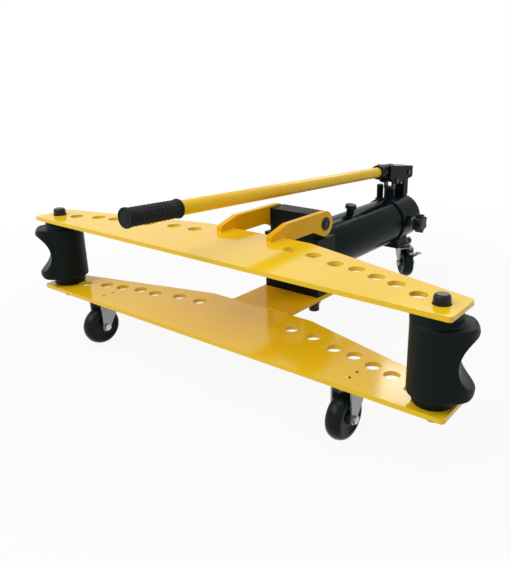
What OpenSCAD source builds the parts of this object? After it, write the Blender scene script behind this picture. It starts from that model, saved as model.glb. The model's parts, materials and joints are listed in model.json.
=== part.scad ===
// Hydraulic pipe bender on castors: two wing plates that carry the bending
// rollers, a head block with a horizontal hydraulic ram, a hand pump on the
// rear cap and a long pumping handle laid forward over the wings.
// Millimetres, +Z up, floor at zero. X runs along the wings, +Y to the pump.

/* [Wing plates] */
// Full width of both wing plates
wing_w = 932; // [900:1:980]
// Front to back depth in the middle
wing_d = 170; // [162:1:180]
// Front to back depth at the outer ends
wing_end_d = 79; // [70:1:95]
// Width of the straight rear edge
wing_flat_w = 250; // [220:1:280]
// Plate thickness
plate_t = 8; // [6:0.5:10]
// Clear space between the two plates
wing_gap = 142; // [134:1:150]
// Rounding of the plate corners
wing_corner_r = 6; // [3:0.5:12]
// Diameter of the roller pin holes
pin_hole_d = 27; // [25:0.5:29]

/* [Head block and hinge] */
// Width of the tongue plate under the block
tongue_w = 143; // [136:1:160]
// Space from the wings' rear edge to the block
block_setback = 102; // [96:1:120]
// Width of the lower part of the block
block_w = 136; // [132:1:146]
// Front to back depth of the lower part
block_d = 63; // [60:1:76]
// Width of the upper part of the block
crown_w = 109; // [100:1:114]
// Front to back depth of the upper part
crown_d = 45; // [42:1:50]
// Thickness of a hinge arm
arm_t = 12; // [9:0.5:14]
// Radius of the arm's eye
eye_r = 25.5; // [23:0.5:28]
// Diameter of the hinge pin
hinge_pin_d = 24; // [20:0.5:28]
// Diameter of a block bolt
bolt_d = 12; // [10:0.5:14]

/* [Hydraulic cylinder] */
// Height of the ram axis above the lower plate
axis_h = 71; // [69:0.5:74]
// Outer diameter of the oil reservoir
reservoir_d = 112; // [108:1:118]
// Visible length of the reservoir
reservoir_l = 319; // [300:1:340]
// Wall of the reservoir
reservoir_wall = 5; // [3:0.5:7]
// Outer diameter of the pressure cylinder
cylinder_d = 88; // [84:1:92]
// Bore of the pressure cylinder
cylinder_bore = 70; // [66:1:74]
// Diameter of the ram
ram_d = 50; // [46:1:54]
// Length of the rear cap behind its rim
cap_l = 90; // [86:1:100]
// Diameter of the rims at both ends of the reservoir
rim_d = 120; // [119:1:126]
// Width of a rim
rim_w = 12; // [9:0.5:16]

/* [Hand pump] */
// Diameter of the pump barrel
barrel_d = 27; // [25:0.5:29]
// Diameter of the pump plunger
plunger_d = 16; // [13:0.5:18]
// Diameter of the pump pins
pump_pin_d = 10; // [8:0.5:10.5]
// Height of the fulcrum above the ram axis
fulcrum_h = 115.5; // [113:0.5:119]
// Distance from the plunger to the fulcrum
pump_arm = 64; // [60:0.5:68]
// Outer diameter of the handle socket
socket_d = 32.5; // [31:0.5:33.5]
// Length of the handle socket
socket_l = 68; // [64:1:74]
// Diameter of the release valve knob
knob_d = 48; // [44:1:54]

/* [Handle] */
// Diameter of the handle tube
handle_d = 25; // [23:0.5:26]
// Handle length in front of the socket
handle_l = 747; // [700:1:760]
// Upward tilt of the handle, in degrees
handle_tilt = 2.8; // [2:0.1:4]
// Diameter of the grip
grip_d = 32.5; // [30:0.5:35]
// Length of the grip
grip_l = 106; // [95:1:120]

/* [Rollers] */
// Radius of the roller's round back
roller_back_r = 42; // [39:0.5:43]
// Radius of the pipe saddle
saddle_r = 45; // [40:0.5:48]
// Distance from the pin to the saddle floor
saddle_reach = 29; // [27:0.5:32]
// Distance from the pin to the ear tips
ear_reach = 54; // [50:0.5:57]
// Height of the roller body
roller_h = 108; // [104:1:114]
// Diameter of the hub bosses
boss_d = 53; // [48:1:64]
// Direction that the right saddle faces, in degrees
right_facing = 22.7; // [0:0.1:90]
// Direction that the left saddle faces, in degrees
left_facing = 238.5; // [180:0.1:270]

/* [Castors] */
// Height from the floor to the lower plate
castor_h = 90; // [89:0.5:96]
// Wheel diameter
wheel_d = 77; // [74:0.5:79]
// Wheel width
wheel_w = 29; // [24:0.5:30]
// Distance of the front wheels from the middle
castor_x = 299; // [270:1:330]
// Distance of the front axles from the front edge
castor_y = 13; // [11:0.5:20]
// Distance of the rear swivel behind the cap
swivel_back = 14; // [10:0.5:24]
// Distance from the swivel to the rear axle
castor_trail = 28; // [24:0.5:32]
// Angle of the rear castor, in degrees
rear_turn = 45; // [0:1:90]

/* [Hidden] */
$fn = 64;

// Colours
yellow = [0.96, 0.75, 0.09];
gloss_black = [0.05, 0.05, 0.055];
satin_black = [0.10, 0.105, 0.11];
zinc = [0.66, 0.68, 0.69];
steel = [0.52, 0.53, 0.55];
rubber = [0.07, 0.07, 0.07];

// Fits and shared small sizes
fit = 0.05;
run = 0.08;
seat = 0.3;
over = 1;
chamfer = 1.5;
arc_steps = 8;

// Levels
plate_z = castor_h;
deck_z = plate_z + plate_t;
upper_z = deck_z + wing_gap;
top_z = upper_z + plate_t;
axis_z = deck_z + axis_h;
mid_z = deck_z + wing_gap / 2;

// Roller hole places, as shares of half the wing width and of its depth
hole_x_shares = [0.2515, 0.363, 0.4805, 0.571, 0.663, 0.748, 0.846, 0.933];
hole_y_shares = [0.7135, 0.68, 0.58, 0.56, 0.483, 0.423, 0.303, 0.228];
pin_hole_r = pin_hole_d / 2;
holes = [for (i = [0 : len(hole_x_shares) - 1]) [hole_x_shares[i] * wing_w / 2, hole_y_shares[i] * wing_d]];
roller_at = holes[len(holes) - 1];

// Head block and hinge
block_y = wing_d + block_setback;
block_rear_y = block_y + block_d;
crown_setback = 3;
crown_y = block_y + crown_setback;
crown_over = 21;
eye_setback = 28;
eye_clear = 4.5;
eye_lap = 0.3;
hinge_y = block_y + eye_setback;
hinge_z = top_z;
shelf_z = hinge_z - eye_r - eye_clear;
arm_gap = 0.5;
arm_x = crown_w / 2 + arm_gap;
arm_toe_l = 40;
arm_toe_h = 12;
arm_knee_l = 7;
arm_lip = 1.5;
arm_drop = plate_t + arm_lip;
arm_waist_l = 42;
arm_round_r = 10;
pin_r = hinge_pin_d / 2;
collar_t = 3.5;
collar_w = 6.5;
collar_r = pin_r + collar_w;
hinge_pin_end = 2;
bolt_r = bolt_d / 2;
bolt_head_share = 0.9;
bolt_head_r = bolt_d * bolt_head_share;
bolt_head_h = 26;
bolt_socket_r = bolt_d / 4;
bolt_grip = 22;
bolt_inset = 13;
bolt_side = 18;
bolt_x = block_w / 2 - bolt_side;
bolt_stagger = 22;
bolt_xs = [bolt_x, bolt_x - bolt_stagger];
bolt_ys = [block_y + bolt_inset, block_rear_y - bolt_inset];

// Cylinder, ram and cap
reservoir_r = reservoir_d / 2;
rim_r = rim_d / 2;
rim_seat = 4;
rim_y = block_rear_y + rim_w / 2 + reservoir_l;
tube_y = block_rear_y + rim_w / 2 - rim_seat;
tube_end_y = rim_y + rim_seat;
cap_y = rim_y + rim_w;
cap_end_y = cap_y + cap_l;
cap_r = reservoir_r;
cap_round_r = 8;
cylinder_r = cylinder_d / 2;
bore_r = cylinder_bore / 2;
spigot_l = 12;
cylinder_y = block_rear_y - spigot_l;
cylinder_end_y = cap_y;
ram_r = ram_d / 2;
gland_r = 38;
gland_flange_r = 43;
gland_depth = 20;
gland_nose = 10;
gland_slots = 4;
gland_slot_w = 8;
wiper_r = 30;
wiper_l = 6;
ram_show = 22;
ram_nose_y = block_y - gland_nose - ram_show;
former_r = 15;
former_l = 25;
piston_l = 25;
piston_rest = 25;
piston_y = cylinder_end_y - piston_rest - piston_l;
groove_w = 8;
groove_depth = 4;
spring_wire_d = 5;
spring_turns = 14;
spring_rings = 8;
spring_sides = 6;
spring_r = (ram_r + bore_r) / 2;

// Pump
plunger_set = 14;
plunger_y = cap_y + plunger_set;
fulcrum_y = plunger_y + pump_arm;
fulcrum_z = axis_z + fulcrum_h;
cap_top_z = axis_z + cap_r;
pump_drop = 13;
plunger_pin_z = fulcrum_z - pump_drop;
pump_pin_r = pump_pin_d / 2;
pump_pin_lip = 1.5;
pump_pin_head_r = pump_pin_r + pump_pin_lip;
pump_pin_head_t = 2;
ear_gap = 16;
ear_t = 5;
clevis_d = 14;
ears_w = ear_gap + 2 * ear_t;
cheek_gap = 0.6;
cheek_t = 6;
cheek_x = ears_w / 2 + cheek_gap;
pump_pin_l = 2 * (cheek_x + cheek_t + cheek_gap);
barrel_r = barrel_d / 2;
barrel_h = 25;
barrel_top_z = cap_top_z + barrel_h;
barrel_stub_r = 11;
barrel_stub_l = 38;
barrel_hex_r = 15.8;
barrel_hex_h = 8;
barrel_floor = 3;
plunger_r = plunger_d / 2;
clevis_base_h = 6;
bracket_d = 24;
bracket_foot_h = 30;
lever_end_h = 14;
lever_tail = 22;
lever_pitch = 7;
lug_r = 9;
slot_play = 0.7;
slot_reach = 5;
slot_in = norm([pump_arm, pump_drop]) - pump_arm;
lever_round_r = 4;
bridge_t = 3;
socket_rise = 15;
lever_l = 131;
socket_y = fulcrum_y - lever_l;
tail_y = fulcrum_y + lever_tail;
socket_z = fulcrum_z + socket_rise;
socket_r = socket_d / 2;
socket_floor = 6;
socket_lip = 0.6;
socket_lip_r = socket_r + socket_lip;
socket_lip_l = 8;
handle_r = handle_d / 2;
handle_fit = 0.3;
handle_wall = 2.5;
relief_x = -34;
relief_set = 12;
relief_y = plunger_y + relief_set;
relief_r = 9.5;
relief_h = 36;
relief_step = 12;
relief_base_r = 12;
relief_stub_l = 14;
relief_stub_r = 6;
relief_foot_z = axis_z + sqrt(cap_r * cap_r - relief_x * relief_x) - relief_step / 2;
knob_set = 43;
knob_y = cap_y + knob_set;
knob_drop = 5;
knob_z = axis_z - knob_drop;
knob_t = 20;
knob_lobes = 6;
knob_lobe_r = 7;
bushing_r = 15;
bushing_l = 9;
bushing_shank_r = 10;
bushing_depth = 16;
spindle_r = 5;
spindle_gap = 2;
knob_x = cap_r + bushing_l - over + spindle_gap;
filler_set = 151;
filler_y = block_rear_y + filler_set;
filler_turn = 8;
filler_neck_r = 9;
filler_neck_h = 11;
filler_thread_r = 6;
filler_head_r = 13;
filler_head_h = 9;
filler_flutes = 10;
filler_flute_r = 1.6;
washer_t = 1.5;
grip_wall_end = 4;
grip_ribs = 8;
grip_groove = 1.3;
grip_ring_l = 9;
grip_r = grip_d / 2;

// Roller pins
roller_play = 0.3;
roller_pin_play = 0.2;
roller_pin_r = pin_hole_r - roller_pin_play;
roller_pin_tail = 22;
roller_pin_head = 14.3;
roller_pin_taper = 1.5;
roller_pin_top_r = roller_pin_r - roller_pin_taper;
roller_pin_dome = 5;
ear_tip_r = 11;
ear_lobe_step = 6;
ear_lobe_r = roller_back_r - ear_lobe_step;

// Castors
wheel_r = wheel_d / 2;
tyre_t = 13;
hub_r = wheel_r - tyre_t;
tyre_round_r = 12;
hub_web_t = 10;
hub_boss_r = 10;
fork_t = 3;
fork_gap = 1;
fork_in = wheel_w / 2 + 2 * fork_gap;
fork_out = fork_in + fork_t;
fork_front = 8;
fork_axle_r = 9;
fork_neck_r = fork_axle_r - fork_gap;
axle_r = 4;
axle_head_r = 7;
axle_head_t = 5;
screw_r = 3;
screw_head_r = 6;
screw_nut_r = 5.5;
screw_nut_t = 5;
screw_first = 15;
screw_pitch = 22;
screw_edge = 5;
fork_back = screw_first + screw_pitch + screw_edge;
screw_ys = [screw_first, screw_first + screw_pitch];
swivel_y = cap_end_y + swivel_back;
bracket_plate_t = 6;
bracket_plate_w = 46;
bracket_set = 30;
bracket_front_y = cap_y + bracket_set;
saddle_w = 42;
saddle_wall = 12;
rear_plate_t = 3;
rear_plate_r = 22.5;
rear_bolt_at = 12;
rear_bolt_r = 3;
rear_bolt_head_r = 5;
rear_bolt_head_h = 4.5;
race_r = 11.5;
race_h = 6;
kingpin_r = 5;
kingpin_head_r = 9;
kingpin_head_t = 2;
fork_top_z = plate_z - rear_plate_t - race_h - seat;
brake_t = 3;
brake_pivot_in = 4;
brake_pivot_up = 20;
brake_pivot = [-brake_pivot_in, brake_pivot_up];
brake_pivot_r = 6;
brake_rivet_r = 2.5;
brake_arm_w = 9;
brake_reach = 5;
brake_shoe_r = 3;
brake_angle = 45;
brake_tab_l = 11;
brake_tab_w = 14;

// Placement: the origin is under the middle of the whole machine
front_end_y = socket_y - handle_l * cos(handle_tilt);
rear_end_y = swivel_y + bracket_plate_w / 2;
shift_y = -(front_end_y + rear_end_y) / 2;

// Unit vector along v
function unit(v) = v / norm(v);

// Points of the arc that rounds corner b between its neighbours a and c
function corner_arc(a, b, c, r) =
  let (
    u = unit(a - b),
    v = unit(c - b),
    half = acos(u * v) / 2,
    mid = b + unit(u + v) * r / sin(half),
    first = b + u * r / tan(half) - mid,
    last = b + v * r / tan(half) - mid,
    start = atan2(first.y, first.x),
    turn = atan2(last.y, last.x) - start,
    sweep = turn - 360 * round(turn / 360)
  )
  [for (i = [0 : arc_steps]) mid + r * [cos(start + sweep * i / arc_steps), sin(start + sweep * i / arc_steps)]];

// Outline with each corner rounded by its own radius, zero for a sharp one
function rounded(points, radii) =
  let (n = len(points))
  [for (i = [0 : n - 1])
    each radii[i] > 0
      ? corner_arc(points[(i + n - 1) % n], points[i], points[(i + 1) % n], radii[i])
      : [points[i]]];

// Points and faces of a tube of sides swept along a list of ring centres
function helix_ring(i, turns, rings, r, pitch) =
  let (a = 360 * i / rings) [r * cos(a), r * sin(a), pitch * i / rings];
function helix_points(turns, rings, sides, r, pitch, wire_r) =
  [for (i = [0 : turns * rings])
    let (a = 360 * i / rings, c = helix_ring(i, turns, rings, r, pitch))
    for (k = [0 : sides - 1])
      let (b = 360 * k / sides)
      c + wire_r * [cos(a) * cos(b), sin(a) * cos(b), sin(b)]];
function helix_faces(turns, rings, sides) =
  let (n = turns * rings)
  concat(
    [[for (k = [0 : sides - 1]) k]],
    [for (i = [0 : n - 1]) for (k = [0 : sides - 1])
      [i * sides + k, (i + 1) * sides + k, i * sides + (k + 1) % sides]],
    [for (i = [0 : n - 1]) for (k = [0 : sides - 1])
      [i * sides + (k + 1) % sides, (i + 1) * sides + k, (i + 1) * sides + (k + 1) % sides]],
    [[for (k = [sides - 1 : -1 : 0]) n * sides + k]]
  );

module placed() {
  translate([0, shift_y, 0])
    children();
}

// Frame on the ram axis at a given y, its own +Z pointing to the pump
module on_axis(y) {
  translate([0, y, axis_z])
    rotate([-90, 0, 0])
      children();
}

// Frame in the YZ plane at a given x: a flat outline drawn as y, z
module side_plate(x, t) {
  translate([x, 0, 0])
    rotate([90, 0, 90])
      linear_extrude(t)
        children();
}

// Frame of the handle: +Z runs forward out of the socket's mouth
module on_handle() {
  translate([0, socket_y, socket_z])
    rotate([90 - handle_tilt, 0, 0])
      children();
}

// Frame of the rear castor, turned about its swivel
module on_rear_castor() {
  translate([0, swivel_y, 0])
    rotate([0, 0, rear_turn])
      children();
}

// Round bar along X, centred on x = 0
module cross_bar(r, l) {
  rotate([0, 90, 0])
    cylinder(r = r, h = l, center = true);
}

// Wings
module wing_outline() {
  polygon(rounded(
    [
      [-wing_w / 2, 0],
      [wing_w / 2, 0],
      [wing_w / 2, wing_end_d],
      [wing_flat_w / 2, wing_d],
      [-wing_flat_w / 2, wing_d],
      [-wing_w / 2, wing_end_d]
    ],
    [for (i = [0 : 5]) wing_corner_r]
  ));
}

module wing_blank(z) {
  difference() {
    translate([0, 0, z])
      linear_extrude(plate_t)
        wing_outline();
    for (side = [-1, 1])
      for (h = holes)
        translate([side * h.x, h.y, z - over])
          cylinder(r = pin_hole_r, h = plate_t + 2 * over);
  }
}

module screw_places() {
  for (side = [-1, 1])
    for (y = screw_ys)
      translate([side * castor_x, castor_y + y, 0])
        children();
}

module lower_wing_plate() {
  color(yellow)
    placed()
      difference() {
        wing_blank(plate_z);
        screw_places() {
          translate([0, 0, plate_z - over])
            cylinder(r = screw_r + fit, h = plate_t + 2 * over);
          translate([0, 0, deck_z - screw_r])
            cylinder(r1 = screw_r + fit, r2 = screw_head_r + fit, h = screw_r);
        }
      }
}

module upper_wing_plate() {
  color(yellow)
    placed()
      wing_blank(upper_z);
}

module bolt_places() {
  for (side = [-1, 1])
    for (i = [0 : len(bolt_xs) - 1])
      translate([side * bolt_xs[i], bolt_ys[i], 0])
        children();
}

module tongue_plate() {
  color(yellow)
    placed()
      difference() {
        translate([-tongue_w / 2, wing_d, plate_z])
          cube([tongue_w, block_rear_y - wing_d, plate_t]);
        bolt_places()
          translate([0, 0, plate_z - over])
            cylinder(r = bolt_r + seat, h = plate_t + 2 * over);
      }
}

module arm_outline() {
  polygon(rounded(
    [
      [wing_d - arm_toe_l, top_z],
      [wing_d - arm_toe_l, top_z + arm_toe_h],
      [wing_d + arm_knee_l, hinge_z + eye_r - eye_lap],
      [hinge_y, hinge_z + eye_r - eye_lap],
      [hinge_y, hinge_z - eye_r + eye_lap],
      [hinge_y - arm_waist_l, top_z - arm_drop],
      [wing_d, top_z - arm_drop],
      [wing_d, top_z]
    ],
    [0, arm_toe_h / 2, arm_round_r, 0, 0, arm_round_r, 0, 0]
  ));
}

module hinge_arm(x) {
  color(yellow)
    placed()
      difference() {
        union() {
          side_plate(x - arm_t / 2, arm_t)
            arm_outline();
          translate([x, hinge_y, hinge_z])
            cross_bar(eye_r, arm_t);
        }
        translate([x, hinge_y, hinge_z])
          cross_bar(pin_r + run, arm_t + 2 * over);
      }
}

module left_hinge_arm() {
  hinge_arm(-arm_x - arm_t / 2);
}

module right_hinge_arm() {
  hinge_arm(arm_x + arm_t / 2);
}

// Head block, with the gland, ram and cylinder bores on one axis
module head_block() {
  color(satin_black)
    placed()
      difference() {
        union() {
          translate([-block_w / 2, block_y, deck_z])
            cube([block_w, block_d, shelf_z - deck_z]);
          translate([-crown_w / 2, crown_y, deck_z])
            cube([crown_w, crown_d, hinge_z + crown_over - deck_z]);
          on_axis(block_rear_y - rim_w / 2)
            cylinder(r = rim_r, h = rim_w);
        }
        on_axis(block_y - over)
          cylinder(r = gland_r, h = gland_depth + over);
        on_axis(block_y)
          cylinder(r = ram_r + run, h = block_d);
        on_axis(cylinder_y)
          cylinder(r = cylinder_r + fit, h = spigot_l + rim_w);
        on_axis(tube_y)
          difference() {
            cylinder(r = reservoir_r + fit, h = rim_w);
            translate([0, 0, -over])
              cylinder(r = reservoir_r - reservoir_wall - fit, h = rim_w);
          }
        translate([0, hinge_y, hinge_z])
          cross_bar(pin_r + fit, crown_w + 2 * over);
        bolt_places()
          translate([0, 0, deck_z - over])
            cylinder(r = bolt_r + fit, h = bolt_grip + over);
      }
}

module head_block_bolts() {
  color(satin_black)
    placed()
      bolt_places()
        difference() {
          union() {
            translate([0, 0, plate_z - bolt_head_h])
              cylinder(r = bolt_head_r, h = bolt_head_h);
            translate([0, 0, plate_z])
              cylinder(r = bolt_r, h = plate_t + bolt_grip - over);
          }
          translate([0, 0, plate_z - bolt_head_h - over])
            cylinder(r = bolt_socket_r, h = bolt_head_h / 2, $fn = 6);
        }
}

module hinge_pin() {
  l = 2 * (arm_x + arm_t + collar_t + hinge_pin_end);
  color(steel)
    placed()
      translate([0, hinge_y, hinge_z]) {
        cross_bar(pin_r, l);
        for (side = [-1, 1])
          translate([side * l / 2, 0, 0])
            rotate([0, side * 90, 0])
              cylinder(r1 = pin_r, r2 = pin_r - chamfer, h = chamfer);
      }
}

module hinge_pin_collars() {
  color(satin_black)
    placed()
      translate([0, hinge_y, hinge_z])
        for (side = [-1, 1])
          translate([side * (arm_x + arm_t + seat + collar_t / 2), 0, 0])
            difference() {
              cross_bar(collar_r, collar_t);
              cross_bar(pin_r + fit, collar_t + 2 * over);
            }
}

module gland_nut() {
  color(steel)
    placed()
      on_axis(block_y - gland_nose)
        difference() {
          union() {
            cylinder(r = gland_flange_r, h = gland_nose);
            cylinder(r = gland_r - fit, h = gland_nose + gland_depth - seat);
          }
          translate([0, 0, -over])
            cylinder(r = ram_r + run, h = gland_nose + gland_depth + 2 * over);
          translate([0, 0, -over])
            cylinder(r = wiper_r, h = wiper_l + over);
          for (i = [0 : gland_slots - 1])
            rotate([0, 0, 360 * i / gland_slots])
              translate([gland_flange_r - gland_slot_w / 2, -gland_slot_w / 2, -over])
                cube([gland_slot_w, gland_slot_w, gland_nose + over - chamfer]);
        }
}

module ram_wiper() {
  color(rubber)
    placed()
      on_axis(block_y - gland_nose)
        difference() {
          cylinder(r = wiper_r - fit, h = wiper_l - fit);
          translate([0, 0, -over])
            cylinder(r = ram_r + run, h = wiper_l + 2 * over);
        }
}

module reservoir_tube() {
  color(gloss_black)
    placed()
      difference() {
        on_axis(tube_y)
          difference() {
            cylinder(r = reservoir_r, h = tube_end_y - tube_y);
            translate([0, 0, -over])
              cylinder(r = reservoir_r - reservoir_wall, h = tube_end_y - tube_y + 2 * over);
          }
        on_filler()
          cylinder(r = filler_thread_r + 2 * fit, h = reservoir_wall * 2 + over, center = true);
      }
}

module pressure_cylinder() {
  color(steel)
    placed()
      on_axis(cylinder_y)
        difference() {
          cylinder(r = cylinder_r, h = cylinder_end_y - cylinder_y);
          translate([0, 0, -over])
            cylinder(r = bore_r, h = cylinder_end_y - cylinder_y + 2 * over);
        }
}

module ram() {
  piston_at = piston_y - ram_nose_y;
  color(steel)
    placed()
      on_axis(ram_nose_y)
        difference() {
          union() {
            translate([0, 0, -former_l])
              cylinder(r = former_r, h = former_l + chamfer);
            cylinder(r1 = ram_r - chamfer, r2 = ram_r, h = chamfer);
            translate([0, 0, chamfer])
              cylinder(r = ram_r, h = piston_at);
            translate([0, 0, piston_at])
              cylinder(r = bore_r - run, h = piston_l);
          }
          translate([0, 0, piston_at + (piston_l - groove_w) / 2])
            difference() {
              cylinder(r = bore_r + over, h = groove_w);
              translate([0, 0, -over])
                cylinder(r = bore_r - groove_depth, h = groove_w + 2 * over);
            }
        }
}

module piston_seal() {
  color(rubber)
    placed()
      on_axis(piston_y + (piston_l - groove_w) / 2 + fit)
        difference() {
          cylinder(r = bore_r - fit, h = groove_w - 2 * fit);
          translate([0, 0, -over])
            cylinder(r = bore_r - groove_depth + fit, h = groove_w + 2 * over);
        }
}

// Return spring round the ram, one unbroken tube from the block to the piston
module return_spring() {
  room = piston_y - cylinder_y - spring_wire_d - 2 * seat;
  pitch = room / spring_turns;
  echo(least_gap = pitch - spring_wire_d);
  color(steel)
    placed()
      on_axis(cylinder_y + seat + spring_wire_d / 2)
        polyhedron(
          helix_points(spring_turns, spring_rings, spring_sides, spring_r, pitch, spring_wire_d / 2),
          helix_faces(spring_turns, spring_rings, spring_sides)
        );
}

// Rear cap: carries the pump, the valves and the rear castor
module end_cap() {
  color(gloss_black)
    placed()
      difference() {
        on_axis(rim_y)
          rotate_extrude()
            polygon(rounded(
              [
                [0, 0],
                [rim_r, 0],
                [rim_r, rim_w],
                [cap_r, rim_w],
                [cap_r, rim_w + cap_l],
                [0, rim_w + cap_l]
              ],
              [0, chamfer, chamfer, 0, cap_round_r, 0]
            ));
        on_axis(rim_y - over)
          difference() {
            cylinder(r = reservoir_r + fit, h = rim_seat + over);
            cylinder(r = reservoir_r - reservoir_wall - fit, h = rim_seat + over);
          }
        on_axis(rim_y - over)
          cylinder(r = cylinder_r + fit, h = rim_w + over);
        translate([0, plunger_y, cap_top_z - barrel_stub_l])
          cylinder(r = barrel_stub_r + fit, h = barrel_stub_l + over);
        translate([relief_x, relief_y, relief_foot_z - relief_stub_l])
          cylinder(r = relief_stub_r + fit, h = relief_stub_l + cap_r);
        translate([relief_x, relief_y, relief_foot_z])
          cylinder(r = relief_base_r + fit, h = cap_r);
        translate([cap_r - bushing_depth, knob_y, knob_z])
          rotate([0, 90, 0])
            cylinder(r = bushing_shank_r + fit, h = bushing_depth + over);
        translate([cap_r - over, knob_y, knob_z])
          rotate([0, 90, 0])
            cylinder(r = bushing_r + fit, h = bushing_l);
      }
}

module pump_barrel() {
  foot_z = cap_top_z - barrel_stub_l + seat;
  color(gloss_black)
    placed()
      translate([0, plunger_y, 0])
        difference() {
          union() {
            translate([0, 0, foot_z])
              cylinder(r = barrel_stub_r, h = barrel_stub_l);
            translate([0, 0, cap_top_z + seat])
              cylinder(r = barrel_hex_r, h = barrel_hex_h, $fn = 6);
            translate([0, 0, cap_top_z + seat])
              cylinder(r = barrel_r, h = barrel_top_z - cap_top_z - seat);
          }
          translate([0, 0, foot_z + barrel_floor])
            cylinder(r = plunger_r + run, h = barrel_top_z);
        }
}

// Upright ear outline that a pump pin passes through, foot at zero height
module ear_outline(h, d) {
  difference() {
    union() {
      translate([-d / 2, 0])
        square([d, h]);
      translate([0, h])
        circle(r = d / 2);
    }
    translate([0, h])
      circle(r = pump_pin_r + fit);
  }
}

module ears(y, foot_z, pin_z, d) {
  for (x = [-ears_w / 2, ear_gap / 2])
    translate([0, y, foot_z])
      side_plate(x, ear_t)
        ear_outline(pin_z - foot_z, d);
}

module fulcrum_bracket() {
  color(gloss_black)
    placed()
      difference() {
        union() {
          ears(fulcrum_y, cap_top_z, fulcrum_z, bracket_d);
          translate([-ears_w / 2, fulcrum_y - bracket_d / 2, axis_z + cap_r / 2])
            cube([ears_w, bracket_d, cap_r / 2 + bracket_foot_h]);
        }
        on_axis(cap_y)
          cylinder(r = cap_r + fit, h = 2 * cap_l);
      }
}

// Cross pin with a head on each side
module pump_pin(y, z) {
  translate([0, y, z]) {
    cross_bar(pump_pin_r, pump_pin_l);
    for (side = [-1, 1])
      translate([side * (pump_pin_l + pump_pin_head_t) / 2, 0, 0])
        cross_bar(pump_pin_head_r, pump_pin_head_t);
  }
}

module fulcrum_pin() {
  color(steel)
    placed()
      pump_pin(fulcrum_y, fulcrum_z);
}

module plunger_pin() {
  color(steel)
    placed()
      pump_pin(plunger_y, plunger_pin_z);
}

module pump_plunger() {
  foot_z = cap_top_z - barrel_stub_l + 2 * seat + barrel_floor;
  base_z = barrel_top_z + seat;
  color(steel)
    placed() {
      translate([0, plunger_y, foot_z])
        cylinder(r = plunger_r, h = base_z - foot_z + over);
      translate([-ears_w / 2, plunger_y - clevis_d / 2, base_z])
        cube([ears_w, clevis_d, clevis_base_h]);
      ears(plunger_y, base_z, plunger_pin_z, clevis_d);
    }
}

// Height of the lever's sloping top edge at y
function lever_top_z(y) = fulcrum_z + lever_end_h + (tail_y - y) * tan(lever_pitch);

module lever_outline() {
  socket_line_z = socket_z - (plunger_y - socket_y) * tan(handle_tilt);
  arm_angle = atan2(pump_drop, pump_arm);
  difference() {
    polygon(rounded(
      [
        [socket_y + socket_l / 2, lever_top_z(socket_y + socket_l / 2)],
        [tail_y, lever_top_z(tail_y)],
        [tail_y, lever_top_z(tail_y) - 2 * lever_end_h],
        [plunger_y, plunger_pin_z - lug_r],
        [plunger_y - lug_r - slot_reach, plunger_pin_z - lug_r / 2],
        [socket_y + socket_l / 2, socket_line_z - socket_r]
      ],
      [0, chamfer, lever_round_r, lever_round_r, lever_round_r, lever_round_r]
    ));
    translate([fulcrum_y, fulcrum_z])
      circle(r = pump_pin_r + run);
    translate([plunger_y, plunger_pin_z])
      rotate(arm_angle) {
        for (reach = [-slot_reach, slot_in])
          translate([reach, 0])
            circle(r = pump_pin_r + slot_play);
        translate([-slot_reach, -pump_pin_r - slot_play])
          square([slot_reach + slot_in, 2 * (pump_pin_r + slot_play)]);
      }
  }
}

module pump_lever() {
  socket_end_y = socket_y + socket_l - socket_floor;
  color(gloss_black)
    placed()
      difference() {
        union() {
          side_plate(cheek_x, cheek_t)
            lever_outline();
          side_plate(-cheek_x - cheek_t, cheek_t)
            lever_outline();
          on_handle() {
            translate([0, 0, -socket_l])
              cylinder(r = socket_r, h = socket_l);
            translate([0, 0, -socket_lip_l])
              cylinder(r = socket_lip_r, h = socket_lip_l);
          }
          side_plate(-cheek_x - fit, 2 * (cheek_x + fit))
            polygon([
              [socket_end_y, lever_top_z(socket_end_y) - bridge_t],
              [tail_y, lever_top_z(tail_y) - bridge_t],
              [tail_y, lever_top_z(tail_y)],
              [socket_end_y, lever_top_z(socket_end_y)]
            ]);
        }
        on_handle()
          translate([0, 0, socket_floor - socket_l])
            cylinder(r = handle_r + handle_fit, h = socket_l);
      }
}

module handle_tube() {
  tail = socket_l - socket_floor - seat;
  l = tail + handle_l - grip_wall_end - seat;
  color(yellow)
    placed()
      on_handle()
        translate([0, 0, -tail])
          difference() {
            cylinder(r = handle_r, h = l);
            translate([0, 0, -over])
              cylinder(r = handle_r - handle_wall, h = l + 2 * over);
          }
}

module handle_grip() {
  rib_l = (grip_l - 2 * grip_ring_l) / grip_ribs;
  color(rubber)
    placed()
      on_handle()
        translate([0, 0, handle_l - grip_l])
          difference() {
            union() {
              cylinder(r = grip_r - grip_groove, h = grip_l);
              cylinder(r = grip_r, h = grip_ring_l);
              translate([0, 0, grip_l - grip_ring_l])
                cylinder(r1 = grip_r, r2 = grip_r - chamfer, h = grip_ring_l);
              for (i = [0 : grip_ribs - 1])
                translate([0, 0, grip_ring_l + (i + 0.5) * rib_l])
                  cylinder(r = grip_r - grip_groove / 2, h = rib_l / 2);
            }
            translate([0, 0, -over])
              cylinder(r = handle_r + fit, h = grip_l - grip_wall_end + over);
          }
}

module relief_valve() {
  color(gloss_black)
    placed()
      translate([relief_x, relief_y, 0]) {
        translate([0, 0, relief_foot_z - relief_stub_l + seat])
          cylinder(r = relief_stub_r, h = relief_stub_l);
        translate([0, 0, relief_foot_z])
          cylinder(r = relief_base_r, h = relief_step);
        translate([0, 0, relief_foot_z + relief_step])
          cylinder(r = relief_r, h = relief_h - chamfer, $fn = 6);
        translate([0, 0, relief_foot_z + relief_step + relief_h - chamfer])
          cylinder(r1 = relief_r * cos(30), r2 = relief_r * cos(30) - chamfer, h = chamfer);
      }
}

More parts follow.
